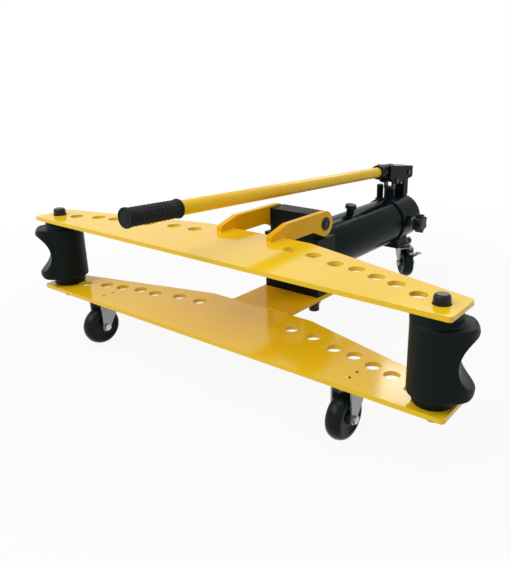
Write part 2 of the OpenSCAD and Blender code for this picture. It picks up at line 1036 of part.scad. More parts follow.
// Frame of the release valve: +Z points out of the cap's right side
module on_valve(x) {
  translate([x, knob_y, knob_z])
    rotate([0, 90, 0])
      children();
}

module release_valve_bushing() {
  color(steel)
    placed()
      difference() {
        union() {
          on_valve(cap_r - bushing_depth + seat)
            cylinder(r = bushing_shank_r, h = bushing_depth);
          on_valve(cap_r - over)
            cylinder(r = bushing_r, h = bushing_l, $fn = 6);
        }
        on_valve(cap_r - bushing_depth)
          cylinder(r = spindle_r + run, h = bushing_depth + bushing_l + over);
      }
}

module release_valve_spindle() {
  color(steel)
    placed()
      on_valve(cap_r - bushing_depth + seat)
        cylinder(r = spindle_r, h = knob_x + knob_t / 2 - cap_r + bushing_depth - seat);
}

module release_valve_knob() {
  lobe_ring_r = knob_d / 2 - knob_lobe_r;
  color(gloss_black)
    placed()
      on_valve(knob_x)
        difference() {
          union() {
            cylinder(r = lobe_ring_r, h = knob_t);
            for (i = [0 : knob_lobes - 1])
              rotate([0, 0, 360 * i / knob_lobes])
                translate([lobe_ring_r, 0, 0])
                  cylinder(r = knob_lobe_r, h = knob_t - chamfer);
          }
          translate([0, 0, -over])
            cylinder(r = spindle_r + fit, h = knob_t / 2 + over + fit);
        }
}

// Frame of the filler: +Z points out of the reservoir, from its outer face
module on_filler() {
  translate([0, filler_y, axis_z])
    rotate([0, filler_turn, 0])
      translate([0, 0, reservoir_r])
        children();
}

module filler_neck() {
  color(gloss_black)
    placed()
      difference() {
        on_filler()
          translate([0, 0, -reservoir_wall])
            cylinder(r = filler_neck_r, h = filler_neck_h + reservoir_wall);
        on_axis(filler_y - 2 * filler_neck_r)
          cylinder(r = reservoir_r + fit, h = 4 * filler_neck_r);
        on_filler()
          translate([0, 0, -reservoir_wall - over])
            cylinder(r = filler_thread_r + 2 * fit, h = filler_neck_h * 2 + reservoir_wall);
      }
}

module filler_washer() {
  color(rubber)
    placed()
      on_filler()
        translate([0, 0, filler_neck_h + fit])
          difference() {
            cylinder(r = filler_neck_r, h = washer_t);
            translate([0, 0, -over])
              cylinder(r = filler_thread_r + 2 * fit, h = washer_t + 2 * over);
          }
}

module filler_plug() {
  head_z = filler_neck_h + washer_t + 2 * fit;
  color(satin_black)
    placed()
      on_filler()
        difference() {
          union() {
            translate([0, 0, -reservoir_wall])
              cylinder(r = filler_thread_r, h = head_z + reservoir_wall + over);
            translate([0, 0, head_z])
              cylinder(r = filler_head_r, h = filler_head_h - chamfer);
            translate([0, 0, head_z + filler_head_h - chamfer])
              cylinder(r1 = filler_head_r, r2 = filler_head_r - chamfer, h = chamfer);
          }
          for (i = [0 : filler_flutes - 1])
            rotate([0, 0, 360 * i / filler_flutes])
              translate([filler_head_r + filler_flute_r / 3, 0, head_z - over])
                cylinder(r = filler_flute_r, h = filler_head_h + 2 * over);
        }
}

// Rollers: a round back, two rounded ears and a round saddle between them
module roller_side() {
  difference() {
    polygon(rounded(
      [
        [-roller_back_r, -roller_h / 2],
        [ear_reach, -roller_h / 2],
        [ear_reach, roller_h / 2],
        [-roller_back_r, roller_h / 2]
      ],
      [chamfer, ear_tip_r, ear_tip_r, chamfer]
    ));
    translate([saddle_reach + saddle_r, 0])
      circle(r = saddle_r);
  }
}

module roller_plan() {
  circle(r = roller_back_r);
  translate([ear_reach - ear_lobe_r, 0])
    circle(r = ear_lobe_r);
}

module roller(side, facing) {
  color(satin_black)
    placed()
      translate([side * roller_at.x, roller_at.y, mid_z])
        rotate([0, 0, facing])
          difference() {
            union() {
              intersection() {
                translate([0, roller_back_r, 0])
                  rotate([90, 0, 0])
                    linear_extrude(2 * roller_back_r)
                      roller_side();
                linear_extrude(roller_h + 2 * over, center = true)
                  roller_plan();
              }
              cylinder(r = boss_d / 2, h = wing_gap - 2 * roller_play, center = true);
            }
            cylinder(r = roller_pin_r + fit, h = wing_gap + 2 * over, center = true);
            translate([saddle_reach + saddle_r, 0, 0])
              rotate([90, 0, 0])
                cylinder(r = saddle_r, h = 2 * saddle_r + 2 * over, center = true);
          }
}

module left_roller() {
  roller(-1, left_facing);
}

module right_roller() {
  roller(1, right_facing);
}

module roller_pin(side) {
  color(satin_black)
    placed()
      translate([side * roller_at.x, roller_at.y, 0])
        rotate_extrude()
          polygon(rounded(
            [
              [0, plate_z - roller_pin_tail],
              [roller_pin_top_r, plate_z - roller_pin_tail],
              [roller_pin_r, plate_z],
              [roller_pin_r, upper_z],
              [roller_pin_top_r, top_z + roller_pin_head],
              [0, top_z + roller_pin_head]
            ],
            [0, roller_pin_dome, 0, 0, roller_pin_dome, 0]
          ));
}

module left_roller_pin() {
  roller_pin(-1);
}

module right_roller_pin() {
  roller_pin(1);
}

// Castor wheels, drawn about the origin with the axle along X
module tyre_shape() {
  rotate([0, 90, 0])
    rotate_extrude()
      polygon(rounded(
        [
          [hub_r, -wheel_w / 2],
          [wheel_r, -wheel_w / 2],
          [wheel_r, wheel_w / 2],
          [hub_r, wheel_w / 2]
        ],
        [0, tyre_round_r, tyre_round_r, 0]
      ));
}

module hub_shape() {
  rotate([0, 90, 0])
    rotate_extrude()
      polygon([
        [axle_r + run, -wheel_w / 2 - fork_gap],
        [hub_boss_r, -wheel_w / 2 - fork_gap],
        [hub_boss_r, -hub_web_t / 2],
        [hub_r - fork_t, -hub_web_t / 2],
        [hub_r - fit, -wheel_w / 2 + chamfer],
        [hub_r - fit, wheel_w / 2 - chamfer],
        [hub_r - fork_t, hub_web_t / 2],
        [hub_boss_r, hub_web_t / 2],
        [hub_boss_r, wheel_w / 2 + fork_gap],
        [axle_r + run, wheel_w / 2 + fork_gap]
      ]);
}

module axle_shape() {
  cross_bar(axle_r, 2 * (fork_out + axle_head_t));
  for (side = [-1, 1])
    translate([side * (fork_out + axle_head_t / 2), 0, 0])
      rotate([0, 90, 0])
        cylinder(r = axle_head_r, h = axle_head_t, center = true, $fn = 6);
}

// Fork leg outline about the axle: drawn as y, z, up to the web's top
module leg_outline(front, back, top) {
  difference() {
    union() {
      polygon([
        [-front, top],
        [-fork_neck_r * cos(15), -fork_neck_r * sin(15)],
        [fork_neck_r * cos(30), -fork_neck_r * sin(30)],
        [back, top - fork_t],
        [back, top]
      ]);
      circle(r = fork_axle_r);
    }
    circle(r = axle_r + fit);
  }
}

module fork_shape(front, back, top) {
  for (x = [-fork_out, fork_in])
    side_plate(x, fork_t)
      leg_outline(front, back, top);
  translate([-fork_out, -front, top - fork_t])
    cube([2 * fork_out, front + back, fork_t]);
}

module front_castor(side) {
  placed()
    translate([side * castor_x, castor_y, wheel_r])
      children();
}

module front_fork(side) {
  color(zinc)
    front_castor(side)
      difference() {
        fork_shape(fork_front, fork_back, plate_z - wheel_r);
        for (y = screw_ys)
          translate([0, y, 0])
            cylinder(r = screw_r + fit, h = plate_z);
      }
}

module left_castor_fork() {
  front_fork(-1);
}

module right_castor_fork() {
  front_fork(1);
}

module left_castor_axle() {
  color(steel)
    front_castor(-1)
      axle_shape();
}

module right_castor_axle() {
  color(steel)
    front_castor(1)
      axle_shape();
}

module left_tyre() {
  color(rubber)
    front_castor(-1)
      tyre_shape();
}

module right_tyre() {
  color(rubber)
    front_castor(1)
      tyre_shape();
}

module left_wheel_hub() {
  color(satin_black)
    front_castor(-1)
      hub_shape();
}

module right_wheel_hub() {
  color(satin_black)
    front_castor(1)
      hub_shape();
}

module castor_screws() {
  nut_z = plate_z - fork_t - screw_nut_t;
  color(satin_black)
    placed()
      screw_places() {
        translate([0, 0, nut_z])
          cylinder(r = screw_r, h = deck_z - nut_z - over);
        translate([0, 0, deck_z - screw_r])
          cylinder(r1 = screw_r, r2 = screw_head_r, h = screw_r);
        translate([0, 0, nut_z])
          cylinder(r = screw_nut_r, h = screw_nut_t, $fn = 6);
      }
}

// Rear castor: a saddle bracket under the cap, a swivel plate and a fork
module rear_bolt_places() {
  for (sx = [-1, 1])
    for (sy = [-1, 1])
      translate([sx * rear_bolt_at, swivel_y + sy * rear_bolt_at, 0])
        children();
}

module castor_bracket() {
  saddle_l = cap_end_y - cap_round_r - bracket_front_y;
  color(satin_black)
    placed()
      difference() {
        union() {
          translate([-bracket_plate_w / 2, bracket_front_y, plate_z])
            cube([bracket_plate_w, swivel_y - bracket_front_y, bracket_plate_t]);
          translate([0, swivel_y, plate_z])
            cylinder(r = bracket_plate_w / 2, h = bracket_plate_t);
          translate([-saddle_w / 2, bracket_front_y, plate_z])
            cube([saddle_w, saddle_l, axis_z - cap_r + saddle_wall - plate_z]);
        }
        on_axis(cap_y)
          cylinder(r = cap_r + fit, h = 2 * cap_l);
        rear_bolt_places()
          translate([0, 0, plate_z - over])
            cylinder(r = rear_bolt_r + fit, h = bracket_plate_t + 2 * over);
      }
}

module rear_castor_plate() {
  color(zinc)
    placed()
      difference() {
        union() {
          translate([0, swivel_y, plate_z - rear_plate_t])
            cylinder(r = rear_plate_r, h = rear_plate_t);
          translate([0, swivel_y, plate_z - rear_plate_t - race_h])
            cylinder(r1 = race_r - chamfer, r2 = race_r, h = race_h);
        }
        translate([0, swivel_y, 0])
          cylinder(r = kingpin_r + fit, h = plate_z + over);
        rear_bolt_places()
          translate([0, 0, plate_z - rear_plate_t - over])
            cylinder(r = rear_bolt_r + fit, h = rear_plate_t + 2 * over);
      }
}

module rear_castor_bolts() {
  l = rear_plate_t + bracket_plate_t;
  color(zinc)
    placed()
      rear_bolt_places() {
        translate([0, 0, plate_z - rear_plate_t - rear_bolt_head_h])
          cylinder(r = rear_bolt_head_r, h = rear_bolt_head_h, $fn = 6);
        translate([0, 0, plate_z - rear_plate_t - rear_bolt_head_h / 2])
          cylinder(r = rear_bolt_r, h = l + rear_bolt_head_h + rear_bolt_head_h / 2 + over);
        translate([0, 0, plate_z + bracket_plate_t])
          cylinder(r = rear_bolt_head_r, h = rear_bolt_head_h, $fn = 6);
      }
}

module rear_castor_kingpin() {
  foot_z = fork_top_z - fork_t - seat;
  color(steel)
    placed()
      translate([0, swivel_y, foot_z]) {
        cylinder(r = kingpin_r, h = plate_z - foot_z);
        translate([0, 0, -kingpin_head_t])
          cylinder(r = kingpin_head_r, h = kingpin_head_t);
      }
}

module on_rear_axle() {
  placed()
    on_rear_castor()
      translate([0, -castor_trail, wheel_r])
        children();
}

module rear_castor_fork() {
  color(zinc)
    on_rear_axle()
      difference() {
        union() {
          fork_shape(fork_front, castor_trail + race_r, fork_top_z - wheel_r);
          translate([fork_out, brake_pivot.x, brake_pivot.y])
            rotate([0, 90, 0])
              cylinder(r = brake_rivet_r, h = brake_t + seat + over);
        }
        translate([0, castor_trail, 0])
          cylinder(r = kingpin_r + run, h = plate_z);
      }
}

module rear_castor_axle() {
  color(steel)
    on_rear_axle()
      axle_shape();
}

module rear_tyre() {
  color(rubber)
    on_rear_axle()
      tyre_shape();
}

module rear_wheel_hub() {
  color(satin_black)
    on_rear_axle()
      hub_shape();
}

// Side brake: an arm on a rivet, a shoe finger over the tread and a foot tab
module brake_lever() {
  shoe_at = (wheel_r + brake_reach + brake_shoe_r) * [-cos(brake_angle), sin(brake_angle)];
  arm = shoe_at - brake_pivot;
  arm_angle = atan2(arm.y, arm.x);
  color(zinc)
    on_rear_axle()
      difference() {
        union() {
          side_plate(fork_out + seat, brake_t) {
            translate(brake_pivot) {
              circle(r = brake_pivot_r);
              rotate(arm_angle)
                translate([0, -brake_arm_w / 2])
                  square([norm(arm), brake_arm_w]);
            }
            translate(shoe_at)
              circle(r = brake_arm_w / 2);
          }
          translate([0, shoe_at.x, shoe_at.y])
            rotate([0, 90, 0])
              cylinder(r = brake_shoe_r, h = fork_out + seat + brake_t);
          translate([fork_out + seat, shoe_at.x - brake_tab_w / 2, shoe_at.y + brake_shoe_r - brake_t])
            cube([brake_tab_l, brake_tab_w, brake_t]);
        }
        translate([fork_out, brake_pivot.x, brake_pivot.y])
          rotate([0, 90, 0])
            cylinder(r = brake_rivet_r + run, h = 2 * brake_t + over);
      }
}

lower_wing_plate();
tongue_plate();
head_block();
head_block_bolts();
hinge_pin();
hinge_pin_collars();
gland_nut();
ram_wiper();
reservoir_tube();
pressure_cylinder();
end_cap();
pump_barrel();
fulcrum_bracket();
fulcrum_pin();
relief_valve();
release_valve_bushing();
filler_neck();
castor_bracket();
left_castor_fork();
right_castor_fork();
left_castor_axle();
right_castor_axle();
castor_screws();
rear_castor_plate();
rear_castor_bolts();
rear_castor_kingpin();
upper_wing_plate();
left_hinge_arm();
right_hinge_arm();
left_roller();
left_roller_pin();
right_roller();
right_roller_pin();
ram();
piston_seal();
return_spring();
pump_lever();
handle_tube();
handle_grip();
pump_plunger();
plunger_pin();
filler_plug();
filler_washer();
release_valve_knob();
release_valve_spindle();
left_tyre();
left_wheel_hub();
right_tyre();
right_wheel_hub();
rear_castor_fork();
rear_castor_axle();
rear_tyre();
rear_wheel_hub();
brake_lever();
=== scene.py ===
"""Looks of a hydraulic pipe bender on castors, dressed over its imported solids."""
import json
import math

import bmesh
import bpy
from mathutils import Matrix, Vector

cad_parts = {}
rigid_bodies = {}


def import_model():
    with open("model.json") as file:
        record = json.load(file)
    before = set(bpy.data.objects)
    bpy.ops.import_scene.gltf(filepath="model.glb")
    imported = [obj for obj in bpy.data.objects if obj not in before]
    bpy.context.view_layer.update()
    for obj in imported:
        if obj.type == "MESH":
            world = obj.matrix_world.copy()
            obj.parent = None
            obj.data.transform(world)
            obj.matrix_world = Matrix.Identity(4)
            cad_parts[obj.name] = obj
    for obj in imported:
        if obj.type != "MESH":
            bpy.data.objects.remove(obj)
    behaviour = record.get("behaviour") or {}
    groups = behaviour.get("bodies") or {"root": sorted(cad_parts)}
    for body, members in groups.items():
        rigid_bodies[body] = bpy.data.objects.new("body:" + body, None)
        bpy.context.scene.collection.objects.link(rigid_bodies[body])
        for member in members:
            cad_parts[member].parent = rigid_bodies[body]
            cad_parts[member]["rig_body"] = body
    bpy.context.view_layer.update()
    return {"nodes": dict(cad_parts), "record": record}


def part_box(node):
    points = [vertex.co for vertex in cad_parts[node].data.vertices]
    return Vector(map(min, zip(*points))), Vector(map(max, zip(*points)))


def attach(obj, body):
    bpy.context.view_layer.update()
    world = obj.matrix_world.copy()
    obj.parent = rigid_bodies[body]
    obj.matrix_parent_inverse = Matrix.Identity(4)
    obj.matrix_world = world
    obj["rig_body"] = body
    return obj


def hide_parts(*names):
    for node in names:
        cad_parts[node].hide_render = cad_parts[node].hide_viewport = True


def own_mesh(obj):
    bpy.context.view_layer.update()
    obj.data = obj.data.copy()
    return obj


for leftover in list(bpy.data.objects):
    bpy.data.objects.remove(leftover)
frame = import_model()
SLOTS = {part["node"]: part["material_slot"] for part in frame["record"]["subparts"]}


# Sizes, in metres

MM = 0.001
MERGE = 0.002 * MM
SEAT = 0.05 * MM
FINE_EDGE = 0.3 * MM
FLAT_ANGLE = math.radians(1.0)
CREASE_ANGLE = math.radians(32)
X = Vector((1, 0, 0))
Y = Vector((0, 1, 0))
Z = Vector((0, 0, 1))

# Width of the rounding on each node's sharp edges, in millimetres
EASED = {
    "lower_wing_plate": 0.35, "upper_wing_plate": 0.35, "tongue_plate": 0.8,
    "left_hinge_arm": 1.0, "right_hinge_arm": 1.0, "head_block": 1.2,
    "castor_bracket": 0.8, "pump_lever": 0.8, "fulcrum_bracket": 0.7,
    "pump_barrel": 0.5, "relief_valve": 0.5, "end_cap": 0.5, "reservoir_tube": 0.3,
    "left_castor_fork": 0.5, "right_castor_fork": 0.5, "rear_castor_fork": 0.5,
    "rear_castor_plate": 0.5, "brake_lever": 0.5, "release_valve_knob": 0.6,
    "release_valve_bushing": 0.4, "filler_neck": 0.4, "filler_plug": 0.3,
    "gland_nut": 0.5, "handle_tube": 0.4,
    "fulcrum_pin": 0.5, "plunger_pin": 0.5, "pump_plunger": 0.4,
    "left_castor_axle": 0.4, "right_castor_axle": 0.4, "rear_castor_axle": 0.4,
    "rear_castor_bolts": 0.4, "head_block_bolts": 0.5}

# Cast rollers
CAST_VOXEL = 1.4 * MM
CAST_MELT = 0.5
CAST_PASSES = 9
ROLLER_BOSS_R = 37 * MM
ROLLER_BOSS_BACK = 6 * MM
ROLLER_FOOT_R = 31.5 * MM
ROLLER_FOOT_BACK = 2.5 * MM
ROLLER_BOSS_H = 16 * MM
ROLLER_BOSS_EDGE = 2 * MM
ROLLER_BORE = 20 * MM
ROLLER_STEPS = 72

# Grip
HANDLE_TILT = math.radians(2.8)
GRIP_FLANGE = 5.5 * MM
GRIP_FLANGE_PROUD = 0.5 * MM
GRIP_ROUND = 1.0 * MM
GRIP_CORNER = 0.6 * MM
GRIP_SLEEVE = 1.7 * MM
GRIP_SLEEVE_START = 0.3 * MM
GRIP_ROWS = 12
GRIP_PADS = 14
GRIP_PAD = 1.0 * MM
GRIP_PAD_GAP = 0.6 * MM
GRIP_PAD_SLOPE = 0.5 * MM
GRIP_PAD_MARGIN = 0.2
GRIP_LIP = 2.6 * MM
GRIP_LIP_FOOT = 3.6 * MM
GRIP_DISH = 1.6 * MM
GRIP_BUTTON_DEPTH = 0.4
GRIP_BUTTON_FOOT = 0.55
GRIP_BUTTON_TOP = 0.48
GRIP_ROUNDING = 2

# Wheels
REAR_TURN = math.radians(45)
WHEEL_AXIS = {
    "left_tyre": X, "right_tyre": X,
    "rear_tyre": Vector((math.cos(REAR_TURN), math.sin(REAR_TURN), 0))}
TYRE_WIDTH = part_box("left_tyre")[1].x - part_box("left_tyre")[0].x
TYRE_CROWN = 11 * MM
TYRE_FULLNESS = 0.8
TYRE_ARC_STEPS = 24
TYRE_STEPS = 96
MOULD_LINE = 0.35 * MM
# Groove in each wall of a tyre: depth and height above the bore
TYRE_GROOVE = ((0, 1.2 * MM), (0.7 * MM, 1.9 * MM), (0.7 * MM, 3.2 * MM), (0, 3.8 * MM))
HUB_PROUD = 0.9 * MM
HUB_BORE = 4.4 * MM
HUB_BOSS = 9.5 * MM
HUB_ROUND = 1.0 * MM
HUB_EDGE = 0.35 * MM
# Dish in each side of a wheel: depths below the tyre's wall, and widths from the boss or the rim
HUB_FILLET_DEPTH = 3.5 * MM
HUB_DISH = 4 * MM
HUB_RING = 2.6 * MM
HUB_RIM = 1.2 * MM
HUB_FILLET = 3 * MM
HUB_DISH_END = 7 * MM
HUB_RING_START = 6 * MM
HUB_RING_END = 4 * MM
HUB_RIM_START = 2.4 * MM
HUB_STEPS = 72

# Weld beads
BEAD_PITCH = 2.4 * MM
BEAD_SIDES = 8
# Size and pace of the two waves along a bead
BEAD_WAVE = (0.16, 2.1)
BEAD_SWELL = (0.07, 0.53)
TONGUE_BEAD = 1.5 * MM
TONGUE_BEAD_INSET = 1.0 * MM
ARM_BEAD = 1.9 * MM
ARM_BEAD_INSET = 2 * MM
TANK_BEAD = 1.4 * MM
TANK_BEAD_PROUD = 0.4 * MM

# Castor screws
SCREW_RIM = 3.4 * MM
SCREW_SOCKET = 2.0 * MM
SOCKET_DRAFT = 0.2 * MM
FACING = 0.999
ROUND_FACE_SIDES = 20

# Cap in the release knob
KNOB_CAP_SHARE = 0.17
KNOB_CAP_SUNK = 2 * MM
KNOB_CAP_LOW = 0.2 * MM
KNOB_CAP_TOP = 0.7 * MM
KNOB_CAP_ROUND = 0.6 * MM
KNOB_CAP_RING = 0.55
KNOB_CAP_DIMPLE = 0.5
KNOB_CAP_STEPS = 40

# Return spring
SPRING_WIRE = 4.8 * MM
SPRING_WIRE_SIDES = 10
SPRING_TURNS = 14
SPRING_STEPS = 24

# Back of the rear cap
CAP_SUNK = 1.0 * MM
CAP_EDGE = 0.25 * MM
CAP_STEP_SHARE = 0.74
CAP_STEP = 5 * MM
CAP_STEP_LOW = 0.4 * MM
CAP_STEP_TOP = 0.9 * MM
CAP_STEP_ROUND = 0.6 * MM
CAP_STEP_STEPS = 96
WASHER_R = 13 * MM
WASHER_LOW = 1.1 * MM
WASHER_TOP = 1.6 * MM
WASHER_ROUND = 0.5 * MM
WASHER_STEPS = 48
PLUG_R = 10.5 * MM
PLUG_FOOT = 1.0 * MM
PLUG_SHOULDER = 7.2 * MM
PLUG_TOP = 8.4 * MM
PLUG_TOP_SHARE = 0.86
HEXAGON = 6

# Hinge pin: shares of its radius, depths of its end, and its snap rings
PIN_PROUD = 3.0 * MM
PIN_RING = 2.2 * MM
PIN_RING_SHARES = (0.42, 0.5, 0.74, 0.82)
PIN_RIM_DEPTH = 0.4 * MM
PIN_CHAMFER = 1.2 * MM
PIN_STEPS = 64
SNAP_RING = 1.6 * MM
SNAP_RING_T = 1.5 * MM
SNAP_GAP = 0.2 * MM
SNAP_PLAY = 0.15 * MM


# Shader maths

class Flow:
    """A shader socket: arithmetic on it adds Math nodes to its tree."""

    def __init__(self, tree, socket):
        self.tree = tree
        self.socket = socket

    def math(self, operation, other):
        node = self.tree.nodes.new("ShaderNodeMath")
        node.operation = operation
        for slot, value in zip(node.inputs, (self, other)):
            feed(self.tree, slot, value)
        return Flow(self.tree, node.outputs[0])

    def __add__(self, other):
        return self.math("ADD", other)

    def __mul__(self, other):
        return self.math("MULTIPLY", other)


def feed(tree, slot, value):
    """Links a flow into a socket, or sets a plain value on it."""
    if isinstance(value, Flow):
        tree.links.new(value.socket, slot)
    else:
        slot.default_value = value


class Finish:
    """A material under construction, with one method for every node."""

    def __init__(self, name):
        self.material = bpy.data.materials.new(name)
        self.material.use_nodes = True
        self.tree = self.material.node_tree
        self.tree.nodes.clear()
        self.place = self.node("TexCoord", out="Object")

    def node(self, kind, settings=None, sockets=None, out=0):
        """Adds a node, with its settings first and then its sockets, and gives one output."""
        node = self.tree.nodes.new("ShaderNode" + kind)
        for name, value in (settings or {}).items():
            setattr(node, name, value)
        for name, value in (sockets or {}).items():
            feed(self.tree, node.inputs[name], value)
        return Flow(self.tree, node.outputs[out]) if node.outputs else None

    def noise(self, scale, detail=3.0, rough=0.5, where=None):
        sockets = {"Vector": where or self.place, "Scale": scale, "Detail": detail, "Roughness": rough}
        return self.node("TexNoise", sockets=sockets)

    def cells(self, scale, out="Distance"):
        return self.node("TexVoronoi", sockets={"Vector": self.place, "Scale": scale}, out=out)

    def stretched(self, scale):
        """Object coordinates scaled unevenly, for brushed, turned or drawn surfaces."""
        return self.node("Mapping", sockets={"Vector": self.place, "Scale": scale})

    def ramp(self, value, low, high, at_low=0.0, at_high=1.0):
        """A value's way from low to high, held within its two ends."""
        sockets = {"Value": value, "From Min": low, "From Max": high, "To Min": at_low, "To Max": at_high}
        return self.node("MapRange", {"clamp": True}, sockets)

    def mix(self, share, first, second):
        """Colour between two colours."""
        return self.node("Mix", {"data_type": "RGBA"}, {0: share, 6: first, 7: second}, 2)

    def edges(self, width):
        """One on rounded edges and zero on open faces."""
        soft = self.node("Bevel", {"samples": 4}, {"Radius": width})
        true = self.node("NewGeometry", out="Normal")
        along = self.node("VectorMath", {"operation": "DOT_PRODUCT"}, {0: soft, 1: true}, "Value")
        return self.ramp(along, low=0.985, high=0.80)

    def upward(self):
        """How far a face looks up, for dust."""
        normal = self.node("NewGeometry", out="Normal")
        return self.node("SeparateXYZ", sockets={0: normal}, out="Z")

    def bump(self, height, depth, strength):
        return self.node("Bump", sockets={"Height": height, "Distance": depth, "Strength": strength})

    def surface(self, sockets):
        shader = self.node("BsdfPrincipled", sockets=sockets)
        self.node("OutputMaterial", sockets={"Surface": shader})
        return self.material


# Colours

def grey(level):
    return (level, level, level, 1)


COLD_SHEEN = (0.68, 0.90, 1.0, 1)
COOL_SHEEN = (0.80, 0.97, 1.0, 1)
YELLOW = ((0.88, 0.55, 0.005, 1), (0.94, 0.61, 0.008, 1))
# Darker, more orange tones of the same yellow for the arms and the tongue: painted shade
YELLOW_TONES_IN_SHADE = ((0.83, 0.44, 0.003, 1), (0.89, 0.49, 0.005, 1))
TUBE_YELLOW = ((0.88, 0.53, 0.005, 1), (0.93, 0.59, 0.007, 1))
YELLOW_SPECK = (0.55, 0.30, 0.01, 1)
YELLOW_RIM_HIGHLIGHT = (0.98, 0.64, 0.03, 1)
YELLOW_CHIP = (0.16, 0.12, 0.07, 1)
BLACK_PAINT = ((0.0020, 0.0046, 0.0054, 1), (0.0042, 0.0082, 0.0096, 1))
BLACK_PAINT_DUST = (0.06, 0.06, 0.065, 1)
BLACK_PAINT_RIM = grey(0.10)
CASTING = ((0.0030, 0.0046, 0.0050, 1), (0.0068, 0.0094, 0.0100, 1))
CASTING_RIM = (0.06, 0.06, 0.062, 1)
CASTING_DUST = grey(0.07)
STEEL = ((0.42, 0.43, 0.45, 1), (0.60, 0.61, 0.63, 1))
STEEL_STAIN = (0.24, 0.21, 0.18, 1)
CHROME = ((0.66, 0.67, 0.69, 1), (0.74, 0.75, 0.76, 1))
CHROME_OIL = (0.52, 0.48, 0.40, 1)
BLACKENED = ((0.004, 0.005, 0.007, 1), (0.011, 0.012, 0.015, 1))
BLACKENED_RIM = (0.16, 0.16, 0.17, 1)
ZINC = ((0.22, 0.25, 0.24, 1), (0.34, 0.37, 0.36, 1))
ZINC_TINT = (0.28, 0.29, 0.23, 1)
ZINC_RIM_HIGHLIGHT = (0.55, 0.57, 0.56, 1)
WHITE_RUST = (0.45, 0.46, 0.44, 1)
RUBBER = ((0.006, 0.006, 0.007, 1), (0.012, 0.012, 0.013, 1))
TYRE = ((0.0030, 0.0042, 0.0040, 1), (0.0070, 0.0088, 0.0085, 1))
RESIN = ((0.006, 0.006, 0.008, 1), (0.012, 0.012, 0.014, 1))
MOULDED_DUST = (0.08, 0.078, 0.075, 1)
EDGE_HIGHLIGHT_GAIN = 1.7


# Finishes

def yellow_enamel(name, tones, shine, smooth, dull):
    """Sprayed enamel: cloudy, with a few specks, paler rims as a painted edge highlight, and small chips
    on them.
    """
    f = Finish(name)
    cloud = f.noise(scale=3.5, detail=3, rough=0.4)
    tone = f.mix(f.ramp(cloud, low=0.35, high=0.68), *tones)
    dots = f.ramp(f.cells(scale=95), low=0.05, high=0.10, at_low=1, at_high=0)
    specks = dots * f.ramp(f.noise(scale=20, detail=3), low=0.56, high=0.66)
    tone = f.mix(specks * 0.35, tone, YELLOW_SPECK)
    rim = f.edges(1.0 * MM)
    chipped = rim * f.ramp(f.noise(scale=150, detail=5, rough=0.6), low=0.63, high=0.68)
    # Paler tone on every rounded edge: a painted edge highlight
    tone = f.mix(rim * 0.3, tone, YELLOW_RIM_HIGHLIGHT)
    tone = f.mix(chipped * 0.6, tone, YELLOW_CHIP)
    sheen = f.ramp(f.noise(scale=6, detail=3, rough=0.45), low=0.3, high=0.7, at_low=smooth, at_high=dull)
    peel = f.noise(scale=420, detail=2, rough=0.4)
    return f.surface({
        "Base Color": tone, "Roughness": sheen + chipped * 0.3,
        "Specular IOR Level": shine, "Coat Weight": 0.03,
        "Normal": f.bump(peel, depth=0.02 * MM, strength=0.14)})


def black_enamel():
    """Gloss paint of the tank and the pump, with dust on top and rubbed rims."""
    f = Finish("black_enamel")
    tone = f.mix(f.noise(scale=9, detail=4), *BLACK_PAINT)
    patches = f.ramp(f.noise(scale=60, detail=6, rough=0.7), low=0.50, high=0.78)
    dust = f.ramp(f.upward(), low=0.4, high=1.0) * patches
    tone = f.mix(dust * 0.10, tone, BLACK_PAINT_DUST)
    rubbed = f.edges(0.9 * MM) * f.ramp(f.noise(scale=140, detail=5, rough=0.6), low=0.60, high=0.70)
    tone = f.mix(rubbed * 0.4, tone, BLACK_PAINT_RIM)
    sheen = f.ramp(f.noise(scale=14, detail=4, rough=0.5), low=0.3, high=0.7, at_low=0.17, at_high=0.25)
    peel = f.noise(scale=380, detail=2, rough=0.4)
    return f.surface({
        "Base Color": tone, "Roughness": sheen + dust * 0.15,
        "Specular IOR Level": 0.045, "Specular Tint": COLD_SHEEN,
        "Normal": f.bump(peel, depth=0.02 * MM, strength=0.35)})


def black_casting():
    """Painted sand casting: grains and pits under the paint, rubbed rims and dust."""
    f = Finish("black_casting")
    tone = f.mix(f.noise(scale=12, detail=4), *CASTING)
    sand = f.noise(scale=300, detail=4, rough=0.6)
    pits = f.ramp(f.cells(scale=130), low=0.02, high=0.22)
    rubbed = f.edges(1.6 * MM) * f.ramp(f.noise(scale=90, detail=5, rough=0.6), low=0.54, high=0.70)
    tone = f.mix(rubbed * 0.35, tone, CASTING_RIM)
    patches = f.ramp(f.noise(scale=70, detail=6, rough=0.7), low=0.48, high=0.78)
    dust = f.ramp(f.upward(), low=0.3, high=1.0) * patches
    tone = f.mix(dust * 0.10, tone, CASTING_DUST)
    sheen = f.ramp(f.noise(scale=30, detail=5, rough=0.6), low=0.3, high=0.7, at_low=0.36, at_high=0.50)
    return f.surface({
        "Base Color": tone, "Roughness": sheen,
        "Specular IOR Level": 0.10, "Specular Tint": COOL_SHEEN,
        "Normal": f.bump(sand * 0.6 + pits * 0.4, depth=0.14 * MM, strength=0.5)})


def bright_steel(axis):
    """Turned or drawn steel, with its fine lines round the given axis."""
    f = Finish("bright_steel_round_" + axis)
    stretch = [1900 if name == axis else 30 for name in "xyz"]
    lines = f.noise(scale=1.0, detail=3, rough=0.6, where=f.stretched(stretch))
    tone = f.mix(f.noise(scale=26, detail=4), *STEEL)
    stain = f.ramp(f.noise(scale=48, detail=6, rough=0.7), low=0.56, high=0.74)
    tone = f.mix(stain * 0.35, tone, STEEL_STAIN)
    sheen = f.ramp(lines, low=0.3, high=0.7, at_low=0.20, at_high=0.36)
    return f.surface({
        "Base Color": tone, "Roughness": sheen + stain * 0.15, "Metallic": 1.0,
        "Normal": f.bump(lines, depth=0.02 * MM, strength=0.5)})


